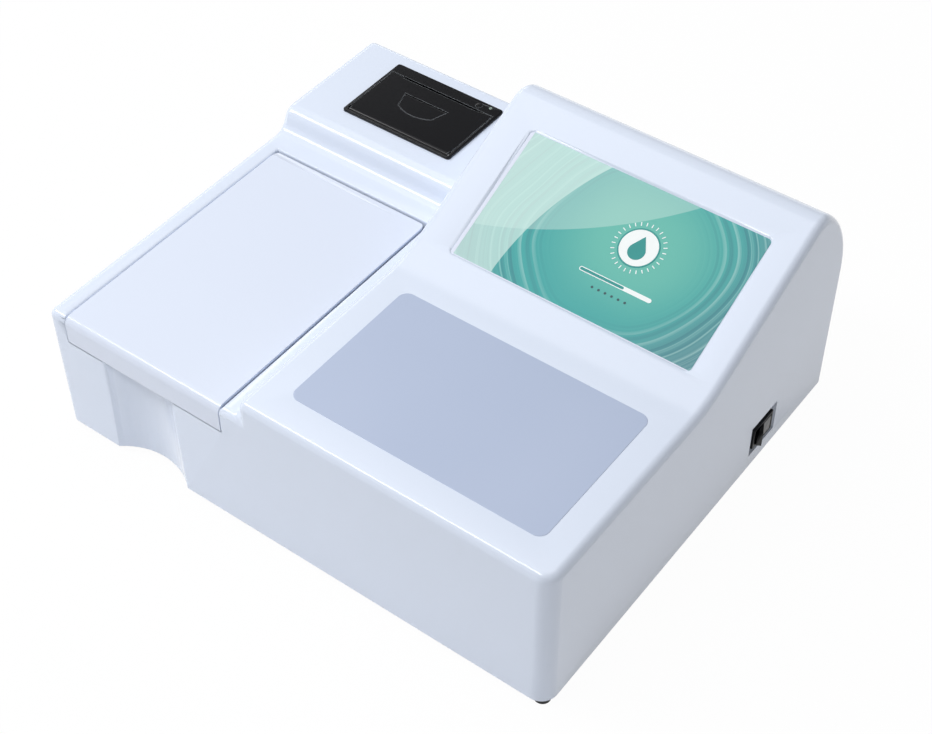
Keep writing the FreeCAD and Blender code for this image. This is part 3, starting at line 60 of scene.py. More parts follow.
def linear(hexText):
    # sRGB hex to the linear values that Blender's sockets take
    parts = [int(hexText[i:i + 2], 16) / 255 for i in (1, 3, 5)]
    values = [c / 12.92 if c <= 0.04045 else ((c + 0.055) / 1.055) ** 2.4 for c in parts]
    return (*values, 1.0)


def addNode(tree, kind, values=None, links=None, **settings):
    # adds a node, sets its properties and socket values, and links its inputs
    node = tree.nodes.new(kind)
    for name, value in settings.items():
        setattr(node, name, value)
    for socket, value in (values or {}).items():
        node.inputs[socket].default_value = value
    for socket, source in (links or {}).items():
        tree.links.new(source, node.inputs[socket])
    return node


def startMaterial(name, hexColour, **shader):
    # a material with one shader, whose sockets take the given values
    material = bpy.data.materials.new(name)
    material.use_nodes = True
    tree = material.node_tree
    tree.nodes.clear()
    body = addNode(tree, "ShaderNodeBsdfPrincipled", {"Base Color": linear(hexColour)})
    for socket, value in shader.items():
        body.inputs[socket.replace("_", " ")].default_value = value
    addNode(tree, "ShaderNodeOutputMaterial", links={"Surface": body.outputs[0]})
    material.diffuse_color = linear(hexColour)
    return material, tree, body


def finishSurface(tree, body, height, edgeRadius, strength, depth):
    # rounds the hard edges for the light and lays the surface grain over that, sizes in mm
    edge = addNode(tree, "ShaderNodeBevel", {"Radius": edgeRadius * mm}, samples=4)
    bump = addNode(
        tree, "ShaderNodeBump", {"Strength": strength, "Distance": depth * mm},
        {"Height": height, "Normal": edge.outputs[0]},
    )
    tree.links.new(bump.outputs[0], body.inputs["Normal"])


# What all moulded plastics share, and where a painted highlight lightens the edges.
moulding = {
    "driftSize": 55.0,  # mm, of the slow wander in tone
    "glossSwing": 0.03,
    "grainStrength": 0.25,
    "highlightReach": 0.35,  # mm from the edge
    "highlightFrom": 0.985,  # cosine between the rounded and the flat normal where it starts
    "highlightTo": 0.88,  # and where it is full
    "highlightShare": 0.9,
}


def mouldedPlastic(
    name, hexColour, roughness, grainSize, grainDepth, edgeRadius, mottle,
    ior=1.53, specular=0.5, edgeHighlight=None,
):
    # a fine even mould grain, and a tone and gloss that wander a little with it, sizes in mm
    material, tree, body = startMaterial(name, hexColour, IOR=ior, Specular_IOR_Level=specular)
    place = addNode(tree, "ShaderNodeTexCoord").outputs["Object"]
    grain = addNode(
        tree, "ShaderNodeTexNoise", {"Scale": 1 / (grainSize * mm), "Detail": 2.0, "Roughness": 0.55},
        {"Vector": place},
    )
    drift = addNode(
        tree, "ShaderNodeTexNoise", {"Scale": 1 / (moulding["driftSize"] * mm), "Detail": 2.0},
        {"Vector": place},
    )
    plain = linear(hexColour)[:3]
    low = (*(c * (1 - mottle) for c in plain), 1.0)
    high = (*(min(c * (1 + mottle), 1) for c in plain), 1.0)
    tone = addNode(tree, "ShaderNodeMix", {6: low, 7: high}, {0: drift.outputs[0]}, data_type="RGBA")
    gloss = addNode(
        tree, "ShaderNodeMapRange",
        {"To Min": roughness - moulding["glossSwing"], "To Max": roughness + moulding["glossSwing"]},
        {"Value": grain.outputs[0]},
    )
    shade = tone.outputs[2]
    # painted highlight: the edges are lightened where the rounded normal leaves the flat one, standing in
    # for light caught on them
    if edgeHighlight:
        edge = addNode(tree, "ShaderNodeBevel", {"Radius": moulding["highlightReach"] * mm}, samples=6)
        true = addNode(tree, "ShaderNodeNewGeometry")
        turn = addNode(
            tree, "ShaderNodeVectorMath", links={0: edge.outputs[0], 1: true.outputs["Normal"]},
            operation="DOT_PRODUCT",
        )
        paintedHighlight = addNode(
            tree, "ShaderNodeMapRange",
            {
                "From Min": moulding["highlightFrom"], "From Max": moulding["highlightTo"],
                "To Max": moulding["highlightShare"],
            },
            {"Value": turn.outputs[1]},
        )
        shade = addNode(
            tree, "ShaderNodeMix", {7: linear(edgeHighlight)}, {0: paintedHighlight.outputs[0], 6: shade}, data_type="RGBA"
        ).outputs[2]
    tree.links.new(shade, body.inputs["Base Color"])
    tree.links.new(gloss.outputs[0], body.inputs["Roughness"])
    finishSurface(tree, body, grain.outputs[0], edgeRadius, moulding["grainStrength"], grainDepth)
    return material


# What all worked metals share.
working = {
    "lineStretch": 0.03,  # how much slower the lines change along their own axis
    "glossBelow": 0.07,
    "glossAbove": 0.1,
    "lineStrength": 0.12,
    "lineDepth": 0.02,  # mm
    "edgeRadius": 0.15,
}


def workedMetal(name, hexColour, roughness, lineSpacing, along):
    # sheet, milled or turned metal: fine lines along one axis break the gloss, sizes in mm
    material, tree, body = startMaterial(name, hexColour, Metallic=1.0)
    fine = 1 / (lineSpacing * mm)
    stretch = tuple(fine * working["lineStretch"] if axis == along else fine for axis in "xyz")
    coords = addNode(tree, "ShaderNodeTexCoord")
    place = addNode(tree, "ShaderNodeMapping", {"Scale": stretch}, {"Vector": coords.outputs["Object"]})
    lines = addNode(tree, "ShaderNodeTexNoise", {"Scale": 1.0, "Detail": 3.0}, {"Vector": place.outputs[0]})
    gloss = addNode(
        tree, "ShaderNodeMapRange",
        {"To Min": roughness - working["glossBelow"], "To Max": roughness + working["glossAbove"]},
        {"Value": lines.outputs[0]},
    )
    tree.links.new(gloss.outputs[0], body.inputs["Roughness"])
    finishSurface(
        tree, body, lines.outputs[0], working["edgeRadius"], working["lineStrength"], working["lineDepth"]
    )
    return material


def overlayFilm():
    # an even grey-blue ink seen through the velvet-textured skin of the film, sizes in mm
    spec = {
        "plain": "#B4C0DA",
        "low": "#B1BED8",
        "high": "#B7C3DC",
        "velvetSize": 0.5,
        "velvetStrength": 0.15,
        "velvetDepth": 0.04,
        "driftSize": 70.0,
        "edgeRadius": 0.25,
    }
    material, tree, body = startMaterial("polycarbonateOverlay", spec["plain"], Roughness=0.45, IOR=1.585)
    place = addNode(tree, "ShaderNodeTexCoord").outputs["Object"]
    velvet = addNode(
        tree, "ShaderNodeTexNoise", {"Scale": 1 / (spec["velvetSize"] * mm), "Detail": 1.0},
        {"Vector": place},
    )
    drift = addNode(
        tree, "ShaderNodeTexNoise", {"Scale": 1 / (spec["driftSize"] * mm), "Detail": 1.0},
        {"Vector": place},
    )
    tone = addNode(
        tree, "ShaderNodeMix", {6: linear(spec["low"]), 7: linear(spec["high"])}, {0: drift.outputs[0]},
        data_type="RGBA",
    )
    tree.links.new(tone.outputs[2], body.inputs["Base Color"])
    finishSurface(
        tree, body, velvet.outputs[0], spec["edgeRadius"], spec["velvetStrength"], spec["velvetDepth"]
    )
    return material


def clearResin(name, hexColour, transmission):
    # clear, with a faint flow ripple from the mould, sizes in mm
    spec = {"rippleSize": 6.0, "rippleStrength": 0.05, "rippleDepth": 0.03, "edgeRadius": 0.2}
    material, tree, body = startMaterial(
        name, hexColour, Roughness=0.05, IOR=1.49, Transmission_Weight=transmission
    )
    place = addNode(tree, "ShaderNodeTexCoord").outputs["Object"]
    flow = addNode(
        tree, "ShaderNodeTexNoise", {"Scale": 1 / (spec["rippleSize"] * mm)}, {"Vector": place}
    )
    finishSurface(
        tree, body, flow.outputs[0], spec["edgeRadius"], spec["rippleStrength"], spec["rippleDepth"]
    )
    return material


def screenPicture():
    # a calm start-up picture of pools, fine eddies and soft veils, in mm from the middle of the screen
    spec = {
        "plain": "#79C6B6",
        "ground": "#66B6A9",
        "swirlScale": 0.012,
        "wander": 14.0,  # how far pools and eddies stray to either side
        "pools": [  # middle, where it starts and is full, colour, share
            ((14, 6), 14, 60, "#44A2A0", 1.0),
            ((-2, 14), 58, 98, "#618F97", 0.95),
        ],
        "eddyCentre": (10, 2),
        "eddySpacing": 3.8,
        "eddyFrom": 36.0,
        "eddyTo": 70.0,
        "strands": [  # level of the noise where it starts and is full, colour, share
            (0.5, 0.74, "#B9DED9", 0.45),
            (0.5, 0.3, "#3B7682", 0.6),
        ],
        "veils": [  # middle, where it starts and is full, share
            ((112, -46), 162.0, 162.4, 0.58),
            ((-150, 230), 262.4, 262.0, 0.3),
        ],
        "veilColour": "#D0E8E2",
        "glow": 0.08,
    }
    material, tree, body = startMaterial(
        "displayUnderGlass", spec["plain"], Roughness=0.16, IOR=1.5, Specular_IOR_Level=0.35
    )
    coords = addNode(tree, "ShaderNodeTexCoord")
    centre = Vector(layout["screenCentre"]) * mm
    shifted = addNode(
        tree, "ShaderNodeVectorMath", {1: tuple(centre)}, {0: coords.outputs["Object"]},
        operation="SUBTRACT",
    )
    turned = addNode(
        tree, "ShaderNodeVectorRotate", {"Angle": -math.radians(layout["screenTilt"])},
        {"Vector": shifted.outputs[0]}, rotation_type="X_AXIS",
    )
    scaled = addNode(
        tree, "ShaderNodeVectorMath", {"Scale": 1 / mm}, {0: turned.outputs[0]}, operation="SCALE"
    )
    flat = addNode(
        tree, "ShaderNodeVectorMath", {1: (1, 1, 0)}, {0: scaled.outputs[0]}, operation="MULTIPLY"
    ).outputs[0]
    swirl = addNode(
        tree, "ShaderNodeTexNoise", {"Scale": spec["swirlScale"], "Detail": 1.0, "Distortion": 0.2},
        {"Vector": flat},
    )
    wander = addNode(
        tree, "ShaderNodeMapRange", {"To Min": -spec["wander"], "To Max": spec["wander"]},
        {"Value": swirl.outputs[0]},
    ).outputs[0]
    picture = None
    for middle, start, end, colour, share in spec["pools"]:
        reach = addNode(tree, "ShaderNodeVectorMath", {1: (*middle, 0)}, {0: flat}, operation="DISTANCE")
        stirred = addNode(tree, "ShaderNodeMath", links={0: reach.outputs[1], 1: wander}, operation="ADD")
        fade = addNode(
            tree, "ShaderNodeMapRange", {"From Min": start, "From Max": end, "To Max": share},
            {"Value": stirred.outputs[0]}, interpolation_type="SMOOTHSTEP",
        )
        pool = addNode(
            tree, "ShaderNodeMix", {6: linear(spec["ground"]), 7: linear(colour)}, {0: fade.outputs[0]},
            data_type="RGBA",
        )
        if picture:
            tree.links.new(picture, pool.inputs[6])
        picture = pool.outputs[2]

    # eddies: brush-like rings of uneven width, which fade in away from the middle
    reach = addNode(
        tree, "ShaderNodeVectorMath", {1: (*spec["eddyCentre"], 0)}, {0: flat}, operation="DISTANCE"
    )
    stirred = addNode(tree, "ShaderNodeMath", links={0: reach.outputs[1], 1: wander}, operation="ADD")
    strands = addNode(
        tree, "ShaderNodeTexNoise", {"Scale": 1 / spec["eddySpacing"], "Detail": 3.0, "Roughness": 0.7},
        {"W": stirred.outputs[0]}, noise_dimensions="1D",
    )
    outer = addNode(
        tree, "ShaderNodeMapRange", {"From Min": spec["eddyFrom"], "From Max": spec["eddyTo"]},
        {"Value": reach.outputs[1]}, interpolation_type="SMOOTHSTEP",
    )
    for start, end, colour, share in spec["strands"]:
        strand = addNode(
            tree, "ShaderNodeMapRange", {"From Min": start, "From Max": end, "To Max": share},
            {"Value": strands.outputs[0]}, interpolation_type="SMOOTHSTEP",
        )
        shown = addNode(
            tree, "ShaderNodeMath", links={0: strand.outputs[0], 1: outer.outputs[0]},
            operation="MULTIPLY",
        )
        picture = addNode(
            tree, "ShaderNodeMix", {7: linear(colour)}, {0: shown.outputs[0], 6: picture},
            data_type="RGBA",
        ).outputs[2]

    # two pale veils with clean curved edges
    for middle, start, end, share in spec["veils"]:
        reach = addNode(tree, "ShaderNodeVectorMath", {1: (*middle, 0)}, {0: flat}, operation="DISTANCE")
        veil = addNode(
            tree, "ShaderNodeMapRange", {"From Min": start, "From Max": end, "To Max": share},
            {"Value": reach.outputs[1]},
        )
        picture = addNode(
            tree, "ShaderNodeMix", {7: linear(spec["veilColour"])}, {0: veil.outputs[0], 6: picture},
            data_type="RGBA",
        ).outputs[2]
    tree.links.new(picture, body.inputs["Base Color"])
    tree.links.new(picture, body.inputs["Emission Color"])
    body.inputs["Emission Strength"].default_value = spec["glow"]
    return material


# Plastics: name, colour, roughness, grain size, grain depth, edge radius, mottle.
# Metals: name, colour, roughness, spacing of the lines, axis that they run along.
materials = {
    # satin bluish-white ABS; the real grain is about 0.2 mm, drawn at 0.8 mm so that it shows
    "case": mouldedPlastic("mouldedAbsWhite", "#E1EAFA", 0.16, 0.8, 0.006, 0.3, 0.006),
    # the lid's ABS, from another mould: the same white, a touch deeper in tone
    "lid": mouldedPlastic("mouldedAbsLid", "#DFE7F7", 0.16, 0.8, 0.006, 0.4, 0.006),
    # grey ABS of the base plate, left with a coarser grain
    "base": mouldedPlastic("mouldedAbsGrey", "#9EA5B2", 0.55, 0.9, 0.04, 0.3, 0.02),
    # black ABS of the panel printer: near black, with painted highlight lines on its edges
    "printer": mouldedPlastic(
        "mouldedAbsBlack", "#07080D", 0.22, 0.7, 0.008, 0.25, 0.05, specular=0.25, edgeHighlight="#A4A9AF"
    ),
    # charcoal ABS of the tray, dull so that it keeps stray light from the wells
    "tray": mouldedPlastic("mouldedAbsCharcoal", "#26282C", 0.5, 0.7, 0.05, 0.3, 0.05),
    # glass-filled nylon of the inlet and the switch: black, with a slightly dry surface
    "inlet": mouldedPlastic("glassFilledNylon", "#101114", 0.42, 0.6, 0.03, 0.25, 0.04, specular=0.2),
    # silicone rubber: soft black that hardly shines
    "rubber": mouldedPlastic("siliconeRubber", "#1B1B1D", 0.75, 0.9, 0.06, 0.3, 0.05, ior=1.41),
    # closed-cell foam of the light seal: matt, with cells of about 0.5 mm
    "foam": mouldedPlastic("closedCellFoam", "#161617", 0.9, 0.5, 0.25, 0.01, 0.04),
    # polystyrene core of the paper roll: off-white and a little dull
    "core": mouldedPlastic("polystyreneCore", "#D9D8D2", 0.5, 0.6, 0.03, 0.2, 0.02, ior=1.59),
    # thermal paper: coated, smooth and slightly warm
    "paper": mouldedPlastic("thermalPaper", "#F1F1EE", 0.62, 0.3, 0.01, 0.15, 0.01, ior=1.5),
    # polished nylon of the rocker, glossier than its frame
    "rocker": mouldedPlastic("polishedNylonBlack", "#08080A", 0.3, 0.9, 0.01, 0.35, 0.04, specular=0.2),
    # circuit boards under green solder mask: glossy over the glass weave
    "board": mouldedPlastic("solderMaskGreen", "#14523A", 0.35, 0.5, 0.02, 0.15, 0.05, ior=1.55),
    # black anodised aluminium of the well block: fine milling lines under a satin dye
    "anodised": workedMetal("anodisedAluminium", "#26272A", 0.42, 0.25, "x"),
    # bright steel of pins and screws: clean and grey, with fine turning lines
    "steel": workedMetal("brightSteel", "#C9CBCF", 0.28, 0.2, "x"),
    # black-oxide steel of the tear strip: dark, with a dull metal gloss
    "blackSteel": workedMetal("blackOxideSteel", "#1C1D20", 0.45, 0.2, "x"),
    # zinc-plated sheet: pale grey with a rolled grain
    "zinc": workedMetal("zincPlatedSheet", "#B4B8BB", 0.42, 0.5, "y"),
    # bare milled aluminium of the print head's heat sink: pale, with milling lines
    "aluminium": workedMetal("milledAluminium", "#B9BCC0", 0.36, 0.3, "x"),
    # turned brass of the standoffs: warm yellow with fine turning lines
    "brass": workedMetal("turnedBrass", "#C8A45C", 0.32, 0.2, "z"),
    # polycarbonate film of the label panel: matt grey-blue with a velvet skin
    "overlay": overlayFilm(),
    # display under touch glass: a lit sea-green picture below a smooth, quiet gloss
    "screen": screenPicture(),
    # cast epoxy of the lamps and the status light, clear with a green cast
    "lens": clearResin("clearEpoxy", "#DDF2E4", 0.7),
    # ink printed behind the rim of the cover lens: pale and even, like the case
    "mask": mouldedPlastic("screenMaskInk", "#DCE2F2", 0.4, 0.5, 0.005, 0.05, 0.01),
    # white of the marks on the screen and of the numbers on the tray: smooth and clean
    "inkWhite": mouldedPlastic("screenInkWhite", "#F2F7F7", 0.35, 0.5, 0.005, 0.05, 0.01),
    # deep teal of the gauge and the bar, which stands out from the picture
    "inkTeal": mouldedPlastic("screenInkTeal", "#12908C", 0.3, 0.5, 0.005, 0.05, 0.03),
    # dark teal of the small dots, which keeps them clear on the pale veil
    "inkDark": mouldedPlastic("screenInkDark", "#1F4A50", 0.35, 0.5, 0.005, 0.05, 0.02),
}
print("materials ready:", len(materials))


# Which finish each carried-over solid takes, and whether it gets smooth round faces.
nodeFinish = {
    "upper_housing": ("case", True), "sample_lid": ("lid", True), "lid_collar": ("lid", True),
    "base_plate": ("base", False), "rubber_feet": ("rubber", True), "label_panel": ("overlay", True),
    "touch_panel": ("screen", False), "display_module": ("inlet", False),
    "display_bracket": ("zinc", False), "cuvette_block": ("anodised", True),
    "sample_tray": ("tray", True), "tray_collar": ("tray", True), "lid_seal": ("foam", True),
    "printer_bezel": ("printer", True), "printer_door": ("printer", True),
    "latch_lever": ("printer", True), "platen_roller": ("rubber", True),
    "platen_shaft": ("steel", True), "paper_roll": ("paper", True), "roll_core": ("core", True),
    "print_head": ("aluminium", False), "feed_motor": ("zinc", True), "tear_bar": ("blackSteel", False),
    "key_board": ("board", False), "led_board": ("board", False), "detector_board": ("board", False),
    "main_board": ("board", False), "status_lens": ("lens", True), "led_lamps": ("lens", True),
    "photodiodes": ("steel", True), "feed_button": ("printer", True), "switch_body": ("inlet", True),
    "switch_rocker": ("rocker", True), "power_inlet": ("inlet", True), "usb_sockets": ("steel", False),
    "board_standoffs": ("brass", True), "power_supply": ("zinc", False),
    "printer_clips": ("steel", False), "hinge_pins": ("steel", True), "door_pins": ("steel", True),
    "latch_pin": ("steel", True), "board_spacers": ("steel", True), "display_screws": ("steel", True),
}
bodyOf = {node: body for body, nodes in frame["record"]["behaviour"]["bodies"].items() for node in nodes}


def addPiece(name, mesh, material):
    piece = bpy.data.objects.new(name, mesh)
    bpy.context.scene.collection.objects.link(piece)
    piece.data.materials.clear()
    piece.data.materials.append(material)
    return piece


def finishedMesh(piece):
    # turns a piece with live modifiers into a plain mesh
    bpy.context.view_layer.update()
    graph = bpy.context.evaluated_depsgraph_get()
    evaluated = piece.evaluated_get(graph)
    mesh = bpy.data.meshes.new_from_object(evaluated, preserve_all_data_layers=True, depsgraph=graph)
    piece.modifiers.clear()
    piece.data = mesh
    return piece


# How faceted solids become smooth skins.
skin = {
    "weldReach": 0.002,  # mm
    "sharpAngle": 32,  # degrees, above which an edge stays sharp
    "evenWeight": 50,
}


def smoothSkin(node, material):
    # a merged copy of a solid whose round faces shade as one surface
    piece = addPiece("skin_" + node, frame["nodes"][node].data.copy(), material)
    weld = piece.modifiers.new("weld", "WELD")
    weld.merge_threshold = skin["weldReach"] * mm
    finishedMesh(piece)
    piece.data.polygons.foreach_set("use_smooth", [True] * len(piece.data.polygons))
    piece.data.set_sharp_from_angle(angle=math.radians(skin["sharpAngle"]))
    even = piece.modifiers.new("even", "WEIGHTED_NORMAL")
    even.keep_sharp = True
    even.weight = skin["evenWeight"]
    finishedMesh(piece)
    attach(piece, bodyOf[node])
    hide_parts(node)


for node, (finish, smooth) in nodeFinish.items():
    if smooth:
        smoothSkin(node, materials[finish])
    else:
        solid = frame["nodes"][node]
        solid.data.materials.clear()
        solid.data.materials.append(materials[finish])
print("solids dressed:", len(nodeFinish))


def startTree(name, inputs):
    # a Geometry Nodes tree with named inputs; gives the tree and its input node
    tree = bpy.data.node_groups.new(name, "GeometryNodeTree")
    tree.interface.new_socket("Places", in_out="INPUT", socket_type="NodeSocketGeometry")
    for label, kind in inputs:
        tree.interface.new_socket(label, in_out="INPUT", socket_type="NodeSocket" + kind)
    tree.interface.new_socket("Geometry", in_out="OUTPUT", socket_type="NodeSocketGeometry")
    return tree, addNode(tree, "NodeGroupInput")


def endTree(tree, given, instances):
    # real geometry in the given finish comes out of the tree
    solid = addNode(tree, "GeometryNodeRealizeInstances", links={0: instances})
    finish = addNode(tree, "GeometryNodeSetMaterial", links={
        "Geometry": solid.outputs[0], "Material": given.outputs["Finish"],
    })
    addNode(tree, "NodeGroupOutput", links={0: finish.outputs[0]})
    return tree


def grow(name, tree, places, material, values):
    # runs a tree on a mesh of bare points and keeps the result as a plain mesh
    mesh = bpy.data.meshes.new(name)
    mesh.from_pydata([Vector(p) * mm for p in places], [], [])
    piece = addPiece(name, mesh, material)
    modifier = piece.modifiers.new("grow", "NODES")
    modifier.node_group = tree
    sockets = {item.name: item.identifier for item in tree.interface.items_tree if item.in_out == "INPUT"}
    modifier[sockets["Finish"]] = material
    for label, value in values.items():
        modifier[sockets[label]] = value
    return finishedMesh(piece)


# Screws: a low head with a cross recess on a plain shank, turned by chance as a hand leaves them.
screws = {
    "headRadius": 2.8,
    "headHeight": 1.8,
    "headSides": 32,
    "crownShare": 0.74,  # width of the head's top against its foot
    "recessLength": 3.0,
    "recessWidth": 0.7,
    "recessDepth": 0.9,
    "shankRadius": 1.5,
    "shankSides": 16,
    "seed": 11,
    "sets": {
        # node: turn of the heads in degrees about X, length of the shank, foot of each head
        "tray_screws": (0, 7.9, [
            (-146.2, -125.0, 68.02), (-54.2, -125.0, 68.02), (-146.2, 12.8, 68.02), (-54.2, 12.8, 68.02),
            (-115.2, -117.8, 68.02), (-85.2, -117.8, 68.02), (-115.2, 7.8, 68.02), (-85.2, 7.8, 68.02),
        ]),
        "inlet_screws": (-90, 8.9, [(105.0, 146.9, 34.0), (145.0, 146.9, 34.0)]),
        "foot_screws": (180, 16.4, [
            (-163.0, -138.0, 2.0), (163.0, -138.0, 2.0), (163.0, 138.0, 2.0), (-163.0, 138.0, 2.0),
        ]),
    },
}


def screwTree():
    tree, given = startTree("crossHeadScrews", [
        ("Head Radius", "Float"), ("Head Height", "Float"), ("Recess Length", "Float"),
        ("Recess Width", "Float"), ("Recess Depth", "Float"), ("Shank Radius", "Float"),
        ("Shank Length", "Float"), ("Facing", "Vector"), ("Seed", "Int"), ("Finish", "Material"),
    ])
    crown = addNode(
        tree, "ShaderNodeMath", {1: screws["crownShare"]}, {0: given.outputs["Head Radius"]},
        operation="MULTIPLY",
    )
    head = addNode(tree, "GeometryNodeMeshCone", {"Vertices": screws["headSides"]}, {
        "Radius Top": crown.outputs[0], "Radius Bottom": given.outputs["Head Radius"],
        "Depth": given.outputs["Head Height"],
    })
    deep = addNode(
        tree, "ShaderNodeMath", {1: 2.0}, {0: given.outputs["Recess Depth"]}, operation="MULTIPLY"
    )
    slotSize = addNode(tree, "ShaderNodeCombineXYZ", links={
        0: given.outputs["Recess Length"], 1: given.outputs["Recess Width"], 2: deep.outputs[0],
    })
    slot = addNode(tree, "GeometryNodeMeshCube", links={"Size": slotSize.outputs[0]})
    top = addNode(tree, "ShaderNodeCombineXYZ", links={2: given.outputs["Head Height"]})
    bars = addNode(tree, "GeometryNodeJoinGeometry")
    for turn in (0.0, math.pi / 2):
        bar = addNode(
            tree, "GeometryNodeTransform", {"Rotation": (0, 0, turn)},
            {"Geometry": slot.outputs[0], "Translation": top.outputs[0]},
        )
        tree.links.new(bar.outputs[0], bars.inputs[0])
    cut = addNode(
        tree, "GeometryNodeMeshBoolean", links={"Mesh 1": head.outputs[0], "Mesh 2": bars.outputs[0]},
        operation="DIFFERENCE",
    )
    shank = addNode(tree, "GeometryNodeMeshCylinder", {"Vertices": screws["shankSides"]}, {
        "Radius": given.outputs["Shank Radius"], "Depth": given.outputs["Shank Length"],
    })
    half = addNode(
        tree, "ShaderNodeMath", {1: -0.5}, {0: given.outputs["Shank Length"]}, operation="MULTIPLY"
    )
    below = addNode(tree, "ShaderNodeCombineXYZ", links={2: half.outputs[0]})
    sunk = addNode(tree, "GeometryNodeTransform", links={
        "Geometry": shank.outputs[0], "Translation": below.outputs[0],
    })
    whole = addNode(tree, "GeometryNodeJoinGeometry", links={0: cut.outputs[0]})
    tree.links.new(sunk.outputs[0], whole.inputs[0])
    chance = addNode(
        tree, "FunctionNodeRandomValue", {"Min": 0.0, "Max": math.pi}, {"Seed": given.outputs["Seed"]},
        data_type="FLOAT",
    )
    spin = addNode(tree, "ShaderNodeCombineXYZ", links={2: chance.outputs["Value"]})
    facing = addNode(tree, "GeometryNodeInstanceOnPoints", links={
        "Points": given.outputs["Places"], "Instance": whole.outputs[0],
        "Rotation": given.outputs["Facing"],
    })
    turned = addNode(
        tree, "GeometryNodeRotateInstances", {"Local Space": True},
        {"Instances": facing.outputs[0], "Rotation": spin.outputs[0]},
    )
    return endTree(tree, given, turned.outputs[0])


crossHeads = screwTree()
for node, (turn, length, places) in screws["sets"].items():
    piece = grow("skin_" + node, crossHeads, places, materials["steel"], {
        "Head Radius": screws["headRadius"] * mm, "Head Height": screws["headHeight"] * mm,
        "Recess Length": screws["recessLength"] * mm, "Recess Width": screws["recessWidth"] * mm,
        "Recess Depth": screws["recessDepth"] * mm, "Shank Radius": screws["shankRadius"] * mm,
        "Shank Length": length * mm, "Facing": (math.radians(turn), 0.0, 0.0), "Seed": screws["seed"],
    })
    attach(piece, bodyOf[node])
    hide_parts(node)
print("screws placed:", sum(len(entry[2]) for entry in screws["sets"].values()))


# Marks of the start-up picture: a gauge with a drop, a bar and dots, as thin plates on the cover lens.
gauge = {
    "middle": (16.0, 7.0),
    "tickCount": 28,
    "tickRadius": 14.6,
    "tickLength": 2.2,
    "tickWidth": 0.55,
    "discRadius": 12.0,
    "rimWidth": 0.9,
    "dropHeight": 15.0,
    "dropBulge": 0.34,  # radius of the drop against its height
    "thickness": 0.1,
}
bar = {
    "middle": (16.0, -17.5),
    "length": 46.0,
    "height": 2.6,
    "rim": 0.5,
    "filled": 0.62,
    "dotsDrop": 7.0,
    "dotCount": 6,
    "dotPitch": 4.2,
    "dotRadius": 0.75,
    "dotSides": 20,
}
screenPlane = (
    Matrix.Translation(Vector(layout["screenCentre"]) * mm)
    @ Matrix.Rotation(math.radians(layout["screenTilt"]), 4, "X")
    @ Matrix.Translation((0, 0, layout["coverTop"] * mm))
)


def onScreen(piece):
    # lays a piece drawn flat at the origin on the face of the cover lens
    piece.data.transform(screenPlane)
    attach(piece, "case")


def circleLine(middle, radius, steps=72):
    turns = [2 * math.pi * i / steps for i in range(steps)]
    return [(middle[0] + radius * math.cos(a), middle[1] + radius * math.sin(a)) for a in turns]


def pillLine(left, right, middleY, height, steps=12):
    # a bar with round ends
    reach = height / 2
    turns = [math.pi * (i / steps - 0.5) for i in range(steps + 1)]
    line = [(right - reach + reach * math.cos(a), middleY + reach * math.sin(a)) for a in turns]
    return line + [(left + reach - reach * math.cos(a), middleY - reach * math.sin(a)) for a in turns]


def dropLine(middle, height, bulge, steps=48):
    # a water drop: most of a circle, closed by two straight sides to the tip
    radius = height * bulge
    base = middle[1] - height / 2 + radius
    tip = middle[1] + height / 2
    rest = math.asin(radius / (tip - base))
    sweep = math.pi + 2 * rest
    turns = [math.pi - rest + sweep * i / steps for i in range(steps + 1)]
    belly = [(middle[0] + radius * math.cos(a), base + radius * math.sin(a)) for a in turns]
    return belly + [(middle[0], tip)]


def tickTree():
    tree, given = startTree("tickRing", [
        ("Count", "Int"), ("Radius", "Float"), ("Tick Length", "Float"), ("Tick Width", "Float"),
        ("Thickness", "Float"), ("Finish", "Material"),
    ])
    circle = addNode(tree, "GeometryNodeMeshCircle", links={
        "Vertices": given.outputs["Count"], "Radius": given.outputs["Radius"],
    })
    size = addNode(tree, "ShaderNodeCombineXYZ", links={
        0: given.outputs["Tick Width"], 1: given.outputs["Tick Length"], 2: given.outputs["Thickness"],
    })
    tick = addNode(tree, "GeometryNodeMeshCube", links={"Size": size.outputs[0]})
    place = addNode(tree, "GeometryNodeInputPosition")
    outward = addNode(
        tree, "FunctionNodeAlignRotationToVector", links={"Vector": place.outputs[0]}, axis="Y"
    )
    ring = addNode(tree, "GeometryNodeInstanceOnPoints", links={
        "Points": circle.outputs[0], "Instance": tick.outputs[0], "Rotation": outward.outputs[0],
    })
    spread = addNode(tree, "GeometryNodeInstanceOnPoints", links={
        "Points": given.outputs["Places"], "Instance": ring.outputs[0],
    })
    return endTree(tree, given, spread.outputs[0])


def dotTree():
    tree, given = startTree("dotRow", [
        ("Count", "Int"), ("Pitch", "Float"), ("Dot Radius", "Float"), ("Thickness", "Float"),
        ("Finish", "Material"),
    ])
    step = addNode(tree, "ShaderNodeCombineXYZ", links={0: given.outputs["Pitch"]})
    row = addNode(
        tree, "GeometryNodeMeshLine", links={"Count": given.outputs["Count"], "Offset": step.outputs[0]},
        mode="OFFSET",
    )
    dot = addNode(tree, "GeometryNodeMeshCylinder", {"Vertices": bar["dotSides"]}, {
        "Radius": given.outputs["Dot Radius"], "Depth": given.outputs["Thickness"],
    })
    dots = addNode(tree, "GeometryNodeInstanceOnPoints", links={
        "Points": row.outputs[0], "Instance": dot.outputs[0],
    })
    spread = addNode(tree, "GeometryNodeInstanceOnPoints", links={
        "Points": given.outputs["Places"], "Instance": dots.outputs[0],
    })
    return endTree(tree, given, spread.outputs[0])


# The cover lens fills the window from the glass up the bevel, with a pale mask at its left and bottom.
cover = {
    "footX": 76.5,
    "footY": 41.5,
    "spread": 1.55,  # how much wider it is at its face, following the bevel
    "lift": 0.05,  # from the glass
    "maskLeft": 2.2,
    "maskBottom": 0.7,
    "maskThickness": 0.04,
}


